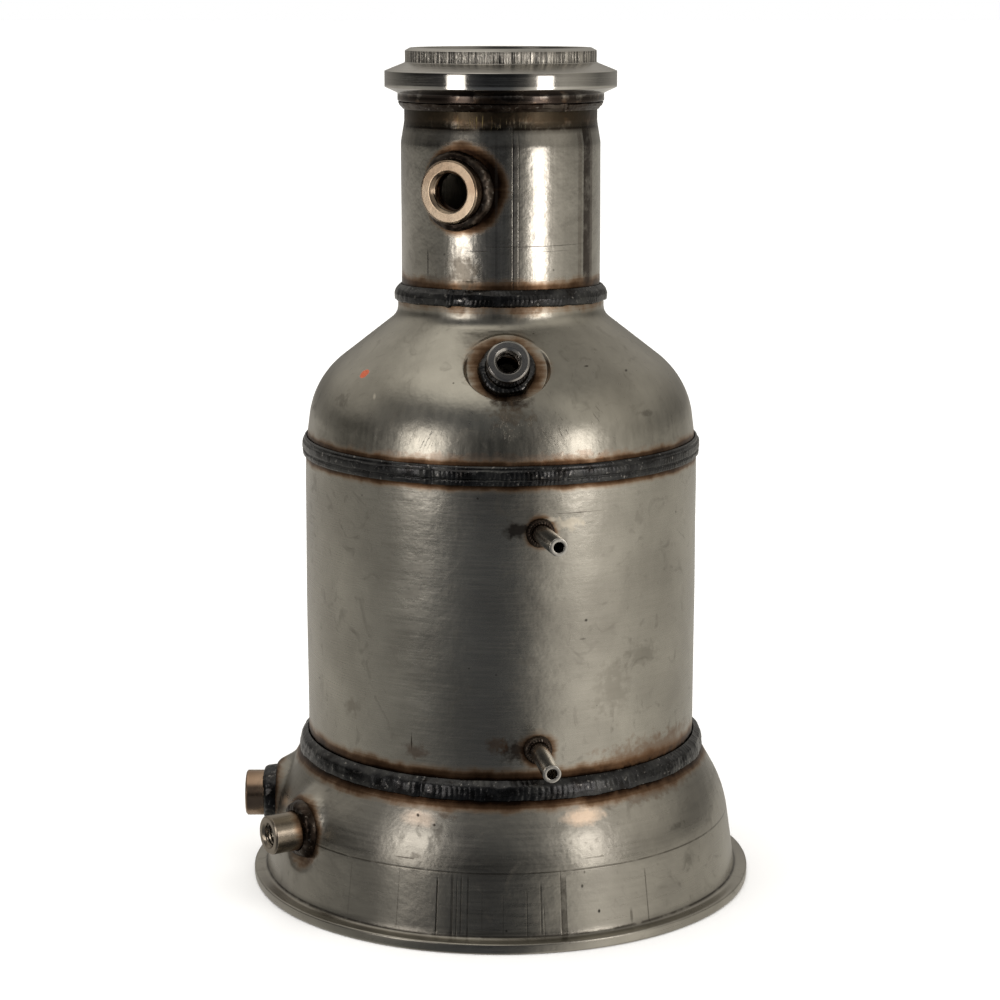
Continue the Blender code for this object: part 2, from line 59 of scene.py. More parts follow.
view = bpy.data.cameras.new("photo_view")
view.lens = CAMERA_LENS
view.shift_x = CAMERA_SHIFT
camera = bpy.data.objects.new("photo_view", view)
camera.location = CAMERA_PLACE
camera.rotation_euler = (radians(90.0 - CAMERA_PITCH), 0.0, 0.0)
bpy.context.collection.objects.link(camera)
bpy.context.scene.camera = camera
bpy.context.scene.view_settings.view_transform = "Standard"


# Studio
# A small white booth: a lit table, dim walls and a ceiling that is brighter on the left, with a
# near and a far soft box on either side of the camera, for the sloping shells and the upright
# ones. The stops of each band run round from behind the object, over its left.
WHITE = "#ffffff"
FLOOR_RADIUS = 60.0
FLOOR_STEPS = 96
FLOOR_ROUGHNESS = 0.9
FLOOR_LIGHT = 2.4
FLOOR_LIGHT_SPREAD = 100.0
TABLE = (
    (-180, "#bdb9b2"), (-136, "#bfbbb4"), (-103, "#b5b2ab"), (-79, "#9a9893"), (-59, "#858480"),
    (-41, "#6d6e6e"), (-22, "#57595c"), (-4, "#525458"), (10, "#5c5e60"), (22, "#979490"), (32, "#e6e2da"),
    (62, "#f4efe6"), (84, "#d8d4cb"), (110, "#c6c2b9"),
)
LOW_WALL = (
    (-180, "#8b8883"), (-138, "#827f7a"), (-108, "#4b4a48"), (-92, "#2c2b2a"), (-66, "#2a2a2b"),
    (-57, "#303030"), (-50, "#8d8982"), (-38, "#8d8982"), (-31, "#37383a"), (-14, "#1d1e20"),
    (12, "#1f2022"), (26, "#3e3e3e"), (34, "#9f9b94"), (52, "#98948d"), (64, "#b0aca4"), (82, "#a5a199"),
    (112, "#716f6b"), (142, "#928f89"),
)
HIGH_WALL = (
    (-180, "#bdb9b2"), (-118, "#bdb9b2"), (-103, "#b9b5ae"), (-84, "#7e7c79"), (-50, "#5f6062"),
    (-10, "#525457"), (12, "#5b5c5d"), (30, "#959390"), (50, "#dcd8cf"), (78, "#dad5cc"), (100, "#bab6ae"),
    (130, "#b3afa8"), (155, "#b9b5ae"),
)
CEILING = (
    (-180, "#b5b2ab"), (-140, "#eae6de"), (-95, "#dedad2"), (-50, "#eae6de"), (-15, "#dedad2"),
    (20, "#a8a59f"), (60, "#8a8782"), (100, "#7f7d78"), (140, "#8f8c87"),
)
BANDS = (
    # stops, elevations between which it takes over from the band below, strength
    (LOW_WALL, -5.5, -1.5, 1.0), (HIGH_WALL, 6.0, 24.0, 1.0), (CEILING, 44.0, 64.0, 1.35),
)
SOFT_BOXES = (
    # azimuth, shift to its right, distance, width, lower and upper edge, brightness, colour
    (-45.0, 0.030, 0.70, 0.220, 0.21, 0.46, 2.9, "#fffaf5"),
    (43.0, -0.005, 0.70, 0.195, 0.21, 0.43, 3.2, "#fffaf6"),
    (-45.0, 0.010, 1.40, 0.440, 0.07, 0.34, 2.1, "#fffaf5"),
    (43.0, 0.038, 1.40, 0.400, 0.07, 0.34, 2.3, "#fffaf6"),
)


def linear(code):
    """An sRGB hex colour as linear RGBA."""
    parts = [int(code[place:place + 2], 16) / 255 for place in (1, 3, 5)]
    return (*[part / 12.92 if part <= 0.04045 else ((part + 0.055) / 1.055) ** 2.4 for part in parts], 1.0)


def add(tree, kind, sockets=None, stops=(), **settings):
    """Adds a node with its settings, sets or links its sockets, and gives its first output."""
    node = tree.nodes.new("ShaderNode" + kind)
    for name, value in settings.items():
        setattr(node, name, value)
    for name, value in (sockets or {}).items():
        if isinstance(value, bpy.types.NodeSocket):
            tree.links.new(value, node.inputs[name])
        elif isinstance(value, str):
            node.inputs[name].default_value = linear(value)
        else:
            node.inputs[name].default_value = value
    for index, (place, colour) in enumerate(stops):
        elements = node.color_ramp.elements
        element = elements[index] if index < 2 else elements.new(place)
        element.position = place
        element.color = linear(colour)
    return node.outputs[0] if node.outputs else node


world = bpy.data.worlds.new("studio")
world.use_nodes = True
bpy.context.scene.world = world
sky = world.node_tree
sky.nodes.clear()
ray = add(sky, "SeparateXYZ", {0: add(sky, "TexCoord")}).node.outputs
towards = add(sky, "Math", {0: ray["Y"], 1: -1.0}, operation="MULTIPLY")
azimuth = add(sky, "Math", {0: ray["X"], 1: towards}, operation="ARCTAN2")
elevation = add(sky, "Math", {0: ray["Z"]}, operation="ARCSINE")
around = add(sky, "MapRange", {"Value": azimuth, "From Min": -pi, "From Max": pi})
light = add(sky, "ValToRGB", {0: around}, [((turn + 180) / 360, colour) for turn, colour in TABLE])
for stops, low, high, strength in BANDS:
    band = add(sky, "ValToRGB", {0: around}, [((turn + 180) / 360, colour) for turn, colour in stops])
    band = add(sky, "MixRGB", {0: 1.0, 1: band, 2: (strength,) * 3 + (1.0,)}, blend_type="MULTIPLY")
    limits = {"Value": elevation, "From Min": radians(low), "From Max": radians(high)}
    share = add(sky, "MapRange", limits, interpolation_type="SMOOTHSTEP")
    light = add(sky, "MixRGB", {0: share, 1: light, 2: band})
light = add(sky, "MixRGB", {0: add(sky, "LightPath"), 1: light, 2: WHITE})
add(sky, "OutputWorld", {0: add(sky, "Background", {0: light})})

# Matt emulsion: no gloss, so that it shows nothing but a soft shadow
emulsion = bpy.data.materials.new("matt_white_floor")
emulsion.use_nodes = True
shader = emulsion.node_tree.nodes["Principled BSDF"]
shader.inputs["Base Color"].default_value = linear(WHITE)
shader.inputs["Roughness"].default_value = FLOOR_ROUGHNESS
shader.inputs["Specular IOR Level"].default_value = 0.0
shape = bmesh.new()
bmesh.ops.create_circle(shape, cap_ends=True, segments=FLOOR_STEPS, radius=FLOOR_RADIUS)
mesh = bpy.data.meshes.new("floor")
shape.to_mesh(mesh)
shape.free()
mesh.materials.append(emulsion)
ground = bpy.data.objects.new("floor", mesh)
ground.visible_glossy = False
bpy.context.collection.objects.link(ground)

lamp = bpy.data.lights.new("overhead", "SUN")
lamp.energy = FLOOR_LIGHT
lamp.angle = radians(FLOOR_LIGHT_SPREAD)
overhead = bpy.data.objects.new("overhead", lamp)
overhead.visible_glossy = False
bpy.context.collection.objects.link(overhead)

for azimuth, shift, distance, width, low, high, brightness, colour in SOFT_BOXES:
    lamp = bpy.data.lights.new("soft_box", "AREA")
    lamp.shape = "RECTANGLE"
    lamp.size = width
    lamp.size_y = high - low
    lamp.energy = brightness * pi * width * (high - low)
    lamp.color = linear(colour)[:3]
    soft_box = bpy.data.objects.new("soft_box", lamp)
    middle = Vector((shift, -distance, (low + high) / 2))
    soft_box.location = Matrix.Rotation(radians(azimuth), 3, "Z") @ middle
    soft_box.rotation_euler = (radians(90.0), 0.0, radians(azimuth))
    soft_box.visible_camera = False
    bpy.context.collection.objects.link(soft_box)


# Filter brick
# Square segments of porous silicon carbide, extruded with thin walls, cemented together and
# held in the can by the mat. Every other channel is plugged at one end, the rest at the other.
CHANNEL_PITCH = 0.00254
CHANNEL_WALL = 0.00044
CHANNEL_SHOWN = 0.0140
SEGMENT_CHANNELS = 14
CEMENT = 0.0012
BRICK_SKIN = 0.0016
SKIN_STEPS = 180
CERAMIC = "#56534f"
PORE_GREY = "#454340"
CEMENT_GREY = "#6e6a64"
PORE = 0.0006
PATCH = 40 * PORE

brick_low, brick_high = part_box("filter_brick")
BRICK_RADIUS = brick_high.x
MERGE = 0.000001
SHARP_ANGLE = 38.0


def piece(name, shape, material, slot, *nodes):
    """Makes an object of a shape, in place of its nodes; the slot is not used."""
    bmesh.ops.recalc_face_normals(shape, faces=shape.faces)
    mesh = bpy.data.meshes.new(name)
    shape.to_mesh(mesh)
    shape.free()
    mesh.shade_smooth()
    mesh.set_sharp_from_angle(angle=radians(SHARP_ANGLE))
    mesh.materials.append(material)
    made = bpy.data.objects.new(name, mesh)
    bpy.context.collection.objects.link(made)
    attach(made, "root")
    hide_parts(*nodes)
    return made


def material_tree(name, roughness, metallic):
    """A new material, its nodes, its shader and the place on the part, in metres."""
    material = bpy.data.materials.new(name)
    material.use_nodes = True
    tree = material.node_tree
    shader = tree.nodes["Principled BSDF"]
    shader.inputs["Roughness"].default_value = roughness
    shader.inputs["Metallic"].default_value = metallic
    return material, tree, shader, add(tree, "TexCoord").node.outputs["Object"]


def channel_line(index, half):
    """Where a line of the channels' grid lies, with a cemented joint after each segment."""
    joints = floor((index - half) / SEGMENT_CHANNELS + 0.5)
    return (index - half) * CHANNEL_PITCH + joints * CEMENT


# Silicon carbide: dull dark grey with open pores, paler in patches where cement smeared it.
# The real pores are 0.02 mm wide, too fine to show, and drawn as large as grains of sand.
ceramic, tree, shader, place = material_tree("porous_silicon_carbide", 0.92, 0.0)
pores = add(tree, "TexNoise", {"Vector": place, "Scale": 1 / PORE, "Detail": 4.0})
patches = add(tree, "TexNoise", {"Vector": place, "Scale": 1 / PATCH, "Detail": 2.0})
tone = add(tree, "MixRGB", {0: pores, 1: PORE_GREY, 2: CERAMIC})
tone = add(tree, "MixRGB", {0: patches, 1: tone, 2: CEMENT_GREY})
tree.links.new(tone, shader.inputs["Base Color"])
relief = add(tree, "Bump", {"Strength": 0.5, "Distance": PORE / 3, "Height": pores})
tree.links.new(relief, shader.inputs["Normal"])

shape = bmesh.new()
half = int(BRICK_RADIUS / CHANNEL_PITCH) + 1
longest = CHANNEL_PITCH + CEMENT / 2
rims = []
for level, direction in ((brick_low.z, 1.0), (brick_high.z, -1.0)):
    made = bmesh.ops.create_grid(shape, x_segments=2 * half, y_segments=2 * half, size=half)["verts"]
    cells = {}
    for face in {face for vert in made for face in vert.link_faces}:
        middle = face.calc_center_median()
        cells[face] = (floor(middle.x), floor(middle.y))
    for vert in made:
        across = channel_line(round(vert.co.x) + half, half)
        along = channel_line(round(vert.co.y) + half, half)
        vert.co = (across, along, level)
    outside = [face for face in cells
               if max(vert.co.xy.length for vert in face.verts) > BRICK_RADIUS - BRICK_SKIN]
    for face in outside:
        del cells[face]
    bmesh.ops.delete(shape, geom=outside, context="FACES")
    pockets = [face for face, (column, row) in cells.items()
               if (column + row) % 2 == (direction > 0)
               and max(edge.calc_length() for edge in face.edges) < longest]
    bmesh.ops.inset_individual(shape, faces=pockets, thickness=CHANNEL_WALL / 2)
    deep = bmesh.ops.extrude_discrete_faces(shape, faces=pockets)["faces"]
    corners = {vert for face in deep for vert in face.verts}
    bmesh.ops.translate(shape, verts=list(corners), vec=(0.0, 0.0, direction * CHANNEL_SHOWN))
    stair = [edge for edge in shape.edges if edge.is_boundary and abs(edge.verts[0].co.z - level) < MERGE]
    circle = bmesh.ops.create_circle(shape, segments=SKIN_STEPS, radius=BRICK_RADIUS)["verts"]
    bmesh.ops.translate(shape, verts=circle, vec=(0.0, 0.0, level))
    hoop = list({edge for vert in circle for edge in vert.link_edges})
    bmesh.ops.triangle_fill(shape, edges=stair + hoop, use_beauty=True)
    rims += hoop
bmesh.ops.bridge_loops(shape, edges=rims)
piece("filter_brick_faces", shape, ceramic, "filter_brick", "filter_brick")


# Support mat and its seals
# A ceramic fibre mat is wrapped round the brick and squeezed into the can; a ring of knitted
# steel wire guards each of its ends from the gas.
RING_STEPS = 180
RING_ROUND = 0.0008
MAT_SPACING = 0.004
SEAL_SPACING = 0.0007
SEAT_GAP = 0.0003
TUFTS = 900.0
TUFT_HEIGHT = 0.0004
WIRE = 0.0005
WIRE_LOOP = 2.4 * WIRE
KNIT_BULGE = 4 * WIRE
KNIT_HEIGHT = 0.0002


def rounded(corners, chord, closed=True):
    """A section's points from (radius, height, fillet) corners, fillets as arcs of short chords."""
    points = []
    for index, (radius, height, fillet) in enumerate(corners):
        here = Vector((radius, height))
        if not fillet or (not closed and index in (0, len(corners) - 1)):
            points.append(here)
            continue
        back = Vector(corners[index - 1][:2]) - here
        onward = Vector(corners[(index + 1) % len(corners)][:2]) - here
        half = back.angle(onward) / 2
        reach = min(fillet / tan(half), 0.48 * back.length, 0.48 * onward.length)
        bend = reach * tan(half)
        turn = pi - 2 * half
        steps = max(2, ceil(turn * bend / chord), ceil(turn / radians(22.5)))
        centre = here + (back.normalized() + onward.normalized()).normalized() * bend / sin(half)
        spoke = here + back.normalized() * reach - centre
        side = -1 if back.cross(onward) > 0 else 1
        for step in range(steps + 1):
            points.append(centre + Matrix.Rotation(side * turn * step / steps, 2) @ spoke)
    return points


def turned(corners, steps, spacing, place=None):
    """A closed section spun round an axis, its points no further apart than the spacing."""
    shape = bmesh.new()
    points = rounded(corners, spacing)
    verts = []
    for here, onward in zip(points, points[1:] + points[:1]):
        runs = max(1, ceil((onward - here).length / spacing))
        for run in range(runs):
            spot = here.lerp(onward, run / runs)
            verts.append(shape.verts.new((spot.x, 0.0, spot.y)))
    edges = [shape.edges.new(pair) for pair in zip(verts, verts[1:] + verts[:1])]
    sectors = max(count for count in range(1, int(steps ** 0.5) + 1) if steps % count == 0)
    turn = {"cent": (0, 0, 0), "axis": (0, 0, 1)}
    bmesh.ops.spin(shape, geom=verts + edges, angle=2 * pi / sectors, steps=steps // sectors, **turn)
    rest = 2 * pi * (1 - 1 / sectors)
    bmesh.ops.spin(shape, geom=[*shape.verts, *shape.edges, *shape.faces], angle=rest, steps=sectors - 1,
                   use_duplicate=True, **turn)
    bmesh.ops.remove_doubles(shape, verts=shape.verts, dist=MERGE)
    bmesh.ops.recalc_face_normals(shape, faces=shape.faces)
    if place is not None:
        shape.transform(place)
    return shape


# Ceramic felt: quite dull, cream and buff in tufts, 900 to a metre
felt, tree, shader, place = material_tree("ceramic_fibre_felt", 0.95, 0.0)
fibres = add(tree, "TexNoise", {"Vector": place, "Scale": TUFTS, "Detail": 6.0})
tone = add(tree, "MixRGB", {0: fibres, 1: "#a89c82", 2: "#d8cfb8"})
tree.links.new(tone, shader.inputs["Base Color"])
tree.links.new(add(tree, "Bump", {"Distance": TUFT_HEIGHT, "Height": fibres}), shader.inputs["Normal"])

# Knitted wire: satin loops, with painted shade in the gaps between them
knit, tree, shader, place = material_tree("knitted_steel_wire", 0.42, 1.0)
loops = add(tree, "TexVoronoi", {"Vector": place, "Scale": 1 / WIRE_LOOP})
tone = add(tree, "MixRGB", {0: loops, 1: "#a5a19a", 2: "#3b3733"})
tree.links.new(tone, shader.inputs["Base Color"])
tree.links.new(add(tree, "Bump", {"Distance": WIRE, "Height": loops}), shader.inputs["Normal"])

inner = BRICK_RADIUS + SEAT_GAP
for node, material, slot, spacing in (
    ("support_mat", felt, "support_mat", MAT_SPACING),
    ("mat_seal_lower", knit, "mat_seal", SEAL_SPACING),
    ("mat_seal_upper", knit, "mat_seal", SEAL_SPACING),
):
    low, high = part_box(node)
    corners = ((inner, low.z), (high.x, low.z), (high.x, high.z), (inner, high.z))
    shape = turned([(*corner, RING_ROUND) for corner in corners], RING_STEPS, spacing)
    if material is knit:
        for vert in shape.verts:
            vert.co += vert.normal * KNIT_HEIGHT * noise(vert.co / KNIT_BULGE)
    piece(node + "_ring", shape, material, slot, node)


# Satin stainless sheet
# The shells are pressed, rolled and drawn from ferritic stainless sheet: a dull satin skin with
# fine lines, smudges and specks, and heat tint from black-brown to straw beside each bead.
HEAT_STOPS = (
    (0.00, "#21160f"), (0.08, "#38271b"), (0.25, "#5b4533"), (0.42, "#8d745d"), (0.60, "#ab9985"),
    (1.00, "#b3aa9a"),
)
HEAT_BLOTCH = 0.014
HEAT_LINE = 0.0016
CLOUD = 0.045
MOTTLE = 0.011
MOTTLE_HEIGHT = 0.00010
SCUFF = 0.013
SCUFF_BROWN = "#4f483f"
SPECK_APART = 0.017
SPECK_EDGE = {"From Min": 0.045, "From Max": 0.02}
SPECK_STRENGTH = 0.7
SPECK_BROWN = "#29221c"
FRAYED = 0.004
FADED = 0.008
# Real scratches, tool cuts and grain are about 0.1 mm wide, too fine to show, and drawn coarser
SCRATCH = (0.0008, 0.0008, 0.030)
SCRATCH_SHARE = {"From Min": 0.58, "From Max": 0.66}
TOOL_CUT = (0.0012, 0.0012, 0.030)
GRAIN_SHADE = {"To Min": 0.94, "To Max": 1.04}
GRAIN_ROUGHNESS = (-0.03, 0.04)
COOL = {"From Min": 0.32, "From Max": 0.72}
MARK_CORE = 0.35
PAINT_EDGE = {"From Min": 0.85, "From Max": 1.0}
LINE_DEPTH = 0.00006
TOOLING_DEPTH = 0.00032
TOOLING_SHARE = 0.8
STREAK_END = 0.0015
BURNT_ROUGHNESS = 0.14
SCUFF_ROUGHNESS = 0.35
MARK_ROUGHNESS = 0.12
SATIN_ROUGHNESS = 0.20
FAR_SIDE = -0.03
HOLE_STEPS = 64


def steel(name, pale, deep, roughness, grain, fine=0.00001, wear=1.0, hammered=MOTTLE_HEIGHT,
          rings=(), spots=(), marks=(), lines=(), bands=(), tooling=None, paint=()):
    """Bare steel with a grain of the given size along x, y and z, and what lies on it.

    rings are (height, start, end) and spots (centre, start, end) of heat tint; marks are
    (centre, radii, colour, strength, raggedness), with a lean in degrees after them where
    they are fine scratches; paint is such marks, opaque and without the metal's shine; lines
    run up the part, (azimuth, half width, low, high, colour, strength); bands run round it,
    (height, half height, colour, strength); tooling is (satin from, low, high, radius, dark,
    pale), tool marks up a rim, with a satin skin from a height.
    """
    material, tree, shader, place = material_tree(name, roughness, 1.0)
    axes = add(tree, "SeparateXYZ", {0: place}).node.outputs
    height = axes["Z"]
    facing = add(tree, "Math", {0: axes["Y"], 1: -1.0}, operation="MULTIPLY")
    around = add(tree, "Math", {0: axes["X"], 1: facing}, operation="ARCTAN2")

    wave = {}
    for use, size, detail, twist, low, high, bottom, top in (
        # what it does, size in metres, detail, twist, the noise's spread, what that spread becomes
        ("cloud", (CLOUD,) * 3, 3.0, 0.0, 0.34, 0.66, 0.0, 1.0),
        ("grain", grain, 5.0, 0.0, 0.30, 0.70, 0.0, 1.0),
        ("scuff", (SCUFF,) * 3, 8.0, 1.4, 0.57, 0.74, 0.0, 0.34 * wear),
        ("mottle", (MOTTLE,) * 3, 3.0, 0.0, 0.30, 0.70, 0.0, hammered),
        ("heat_blotch", (HEAT_BLOTCH,) * 3, 5.0, 0.0, 0.30, 0.70, -0.15, 0.15),
        ("heat_line", (1.0, 1.0, HEAT_LINE), 3.0, 0.0, 0.30, 0.70, -0.06, 0.06),
        ("frayed", (FRAYED,) * 3, 5.0, 0.0, 0.30, 0.70, -1.0, 1.0),
        ("faded", (FADED,) * 3, 3.0, 0.0, 0.25, 0.50, 0.25, 1.0),
        ("tool_cuts", TOOL_CUT, 3.0, 0.0, 0.40, 0.60, 0.0, 1.0),
    ):
        spot = add(tree, "Mapping", {"Vector": place, "Scale": size}, vector_type="TEXTURE")
        field = {"Vector": spot, "Scale": 1.0, "Detail": detail, "Roughness": 0.6, "Distortion": twist}
        field = {"Value": add(tree, "TexNoise", field), "From Min": low, "From Max": high}
        wave[use] = add(tree, "MapRange", {**field, "To Min": bottom, "To Max": top})

    # The cloudy sheet with its grain, smudges and dark specks
    tone = add(tree, "MixRGB", {0: wave["cloud"], 1: deep, 2: pale})
    shade = add(tree, "MapRange", {"Value": wave["grain"], **GRAIN_SHADE})
    tone = add(tree, "MixRGB", {0: 1.0, 1: tone, 2: shade}, blend_type="MULTIPLY")
    tone = add(tree, "MixRGB", {0: wave["scuff"], 1: tone, 2: SCUFF_BROWN})
    spot = add(tree, "Mapping", {"Vector": place, "Scale": (SPECK_APART,) * 3}, vector_type="TEXTURE")
    speck = add(tree, "TexVoronoi", {"Vector": spot, "Scale": 1.0})
    speck = add(tree, "MapRange", {"Value": speck, **SPECK_EDGE, "To Max": SPECK_STRENGTH * wear})
    tone = add(tree, "MixRGB", {0: speck, 1: tone, 2: SPECK_BROWN})

    # Heat tint, nought at a weld and one where the sheet stayed cool
    heat = 1.0
    for centre, start, end in (*rings, *spots):
        if isinstance(centre, Vector):
            gap = add(tree, "VectorMath", {0: place, 1: centre}, operation="DISTANCE").node.outputs["Value"]
        else:
            gap = add(tree, "Math", {0: height, 1: centre}, operation="SUBTRACT")
            gap = add(tree, "Math", {0: gap}, operation="ABSOLUTE")
        gap = add(tree, "MapRange", {"Value": gap, "From Min": start, "From Max": end})
        heat = add(tree, "Math", {0: heat, 1: gap}, operation="MINIMUM")
    heat = add(tree, "Math", {0: heat, 1: wave["heat_blotch"]})
    heat = add(tree, "Math", {0: heat, 1: wave["heat_line"]})
    tint = add(tree, "ValToRGB", {0: heat}, HEAT_STOPS)
    cool = add(tree, "MapRange", {"Value": heat, **COOL}, interpolation_type="SMOOTHSTEP")
    tone = add(tree, "MixRGB", {0: cool, 1: tint, 2: tone})

    # The skin's relief, and its gloss, duller where it is scuffed or burnt
    relief = add(tree, "Math", {0: wave["grain"], 1: fine, 2: wave["mottle"]}, operation="MULTIPLY_ADD")
    span = {"To Min": roughness + GRAIN_ROUGHNESS[0], "To Max": roughness + GRAIN_ROUGHNESS[1]}
    rough = add(tree, "MapRange", {"Value": wave["grain"], **span})
    rough = add(tree, "Math", {0: wave["scuff"], 1: SCUFF_ROUGHNESS, 2: rough}, operation="MULTIPLY_ADD")
    rough = add(tree, "Math", {0: cool, 1: -BURNT_ROUGHNESS, 2: rough}, operation="MULTIPLY_ADD")
    rough = add(tree, "Math", {0: rough, 1: BURNT_ROUGHNESS})

    # Draw lines and creases: each a box of azimuth and height, or of height alone
    streaks = [(((around, radians(angle), radians(half)), (height, (low + high) / 2, (high - low) / 2)),
                colour, strength) for angle, half, low, high, colour, strength in lines]
    streaks += [(((height, level, half),), colour, strength) for level, half, colour, strength in bands]
    for limits, colour, strength in streaks:
        mask = add(tree, "Math", {0: wave["faded"], 1: strength}, operation="MULTIPLY")
        for value, middle, half in limits:
            gap = add(tree, "Math", {0: value, 1: middle}, operation="SUBTRACT")
            gap = add(tree, "Math", {0: gap}, operation="ABSOLUTE")
            soft = min(0.6 * half, STREAK_END)
            edge = add(tree, "MapRange", {"Value": gap, "From Min": half + soft, "From Max": half - soft})
            mask = add(tree, "Math", {0: mask, 1: edge}, operation="MULTIPLY")
        tone = add(tree, "MixRGB", {0: mask, 1: tone, 2: colour})
        relief = add(tree, "Math", {0: mask, 1: -LINE_DEPTH, 2: relief}, operation="MULTIPLY_ADD")

    # Marks, scratches and paint, each within a ragged ellipsoid
    for index, (centre, radii, colour, strength, ragged, *lean) in enumerate((*marks, *paint)):
        spot = add(tree, "VectorMath", {0: place, 1: centre}, operation="SUBTRACT")
        spot = add(tree, "VectorMath", {0: spot, 1: radii}, operation="DIVIDE")
        reach = add(tree, "VectorMath", {0: spot}, operation="LENGTH").node.outputs["Value"]
        reach = add(tree, "Math", {0: wave["frayed"], 1: ragged, 2: reach}, operation="MULTIPLY_ADD")
        if index >= len(marks):
            bare = add(tree, "MapRange", {"Value": reach, **PAINT_EDGE, "To Min": 1.0 - strength})
            tone = add(tree, "MixRGB", {0: bare, 1: colour, 2: tone})
            tree.links.new(bare, shader.inputs["Metallic"])
            continue
        span = {"From Min": 1.0, "From Max": MARK_CORE, "To Max": strength}
        mask = add(tree, "MapRange", {"Value": reach, **span})
        if lean:
            turned_by = {"Scale": SCRATCH, "Rotation": (0.0, radians(lean[0]), 0.0)}
            spot = add(tree, "Mapping", {"Vector": place, **turned_by}, vector_type="TEXTURE")
            cuts = add(tree, "TexNoise", {"Vector": spot, "Scale": 1.0, "Detail": 4.0, "Roughness": 0.6})
            cuts = add(tree, "MapRange", {"Value": cuts, **SCRATCH_SHARE})
            mask = add(tree, "Math", {0: mask, 1: cuts}, operation="MULTIPLY")
            relief = add(tree, "Math", {0: mask, 1: -LINE_DEPTH, 2: relief}, operation="MULTIPLY_ADD")
        tone = add(tree, "MixRGB", {0: mask, 1: tone, 2: colour})
        rough = add(tree, "Math", {0: mask, 1: MARK_ROUGHNESS, 2: rough}, operation="MULTIPLY_ADD")

    # Tool marks up a rim, and a satin skin above it
    if tooling:
        satin, low, high, inner, dark, light_tone = tooling
        flat = add(tree, "VectorMath", {0: place, 1: (1.0, 1.0, 0.0)}, operation="MULTIPLY")
        out = add(tree, "VectorMath", {0: flat}, operation="LENGTH").node.outputs["Value"]
        mask = TOOLING_SHARE
        for value, limit, test in (
            (out, inner, "GREATER_THAN"),
            (height, low, "GREATER_THAN"),
            (height, high, "LESS_THAN"),
        ):
            edge = add(tree, "Math", {0: value, 1: limit}, operation=test)
            mask = add(tree, "Math", {0: mask, 1: edge}, operation="MULTIPLY")
        cut_tone = add(tree, "MixRGB", {0: wave["tool_cuts"], 1: dark, 2: light_tone})
        tone = add(tree, "MixRGB", {0: mask, 1: tone, 2: cut_tone})
        cuts = add(tree, "Math", {0: mask, 1: wave["tool_cuts"]}, operation="MULTIPLY")
        relief = add(tree, "Math", {0: cuts, 1: TOOLING_DEPTH, 2: relief}, operation="MULTIPLY_ADD")
        above = add(tree, "Math", {0: height, 1: satin}, operation="GREATER_THAN")
        rough = add(tree, "Math", {0: above, 1: SATIN_ROUGHNESS, 2: rough}, operation="MULTIPLY_ADD")
    tree.links.new(tone, shader.inputs["Base Color"])
    tree.links.new(rough, shader.inputs["Roughness"])
    tree.links.new(add(tree, "Bump", {"Distance": 1.0, "Height": relief}), shader.inputs["Normal"])
    return material


def outward(spot):
    """The level direction from the axis to a point."""
    return Vector((spot.x, spot.y, 0.0)).normalized()


def wavy(shape, size, height, seed=0.0):
    """Shifts a round shell in and out in slow swells, as hand-fitted sheet has."""
    for vert in shape.verts:
        vert.co += outward(vert.co) * height * noise(vert.co / size + Vector((seed, 0.0, 0.0)))


def pinched(shape, level, reach, depth):
    """Draws a round shell in beside a bead, where the weld shrank as it cooled."""
    for vert in shape.verts:
        vert.co -= outward(vert.co) * depth * exp(-((vert.co.z - level) / reach) ** 2)


def dented(shape, *dents):
    """Presses shallow dents, (centre, reach, depth), into a round shell."""
    for centre, reach, depth in dents:
        for vert in shape.verts:
            gap = (vert.co - centre).length / reach
            if gap < 3:
                vert.co -= outward(vert.co) * depth * exp(-gap * gap)


def on_inside(vert, profile, wall):
    """Whether a point of a shell lies on its inner side."""
    return hypot(vert.co.x, vert.co.y) < radius_at(profile, vert.co.z) - wall / 2


def flattened(shape, place, profile, wall, level, inner, outer):
    """Presses a flat round seat into a shell, blended into it between two radii."""
    back = place.inverted()
    for vert in shape.verts:
        spot = back @ vert.co
        across = spot.xy.length
        if spot.z < FAR_SIDE or across > outer + wall:
            continue
        depth = wall if on_inside(vert, profile, wall) else 0.0
        share = min(1.0, max(0.0, (outer + 0.45 * depth - across) / (outer - inner)))
        spot.z += (level - depth - spot.z) * share * share * (3 - 2 * share)
        vert.co = place @ spot


def radius_at(profile, height):
    """A climbing outline's radius at a height."""
    for low, high in zip(profile, profile[1:]):
        if height <= high.y:
            return low.x + (height - low.y) / (high.y - low.y) * (high.x - low.x)
    return profile[-1].x


def on_shell(profile, azimuth, height):
    """A point on a shell, its azimuth in degrees from the front."""
    radius = radius_at(profile, height)
    return Vector((radius * sin(radians(azimuth)), -radius * cos(radians(azimuth)), height))


def laid(profile, marks):
    """Marks given by azimuth and height, set on a shell."""
    return [(on_shell(profile, azimuth, height), *rest) for azimuth, height, *rest in marks]


def boss_place(node, azimuth, tilt):
    """A boss's own frame, its Z axis outwards, from its node's middle and its direction."""
    low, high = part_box(node)
    turn = Matrix.Rotation(radians(azimuth), 4, "Z") @ Matrix.Rotation(radians(90.0 - tilt), 4, "X")
    return Matrix.Translation((low + high) / 2) @ turn


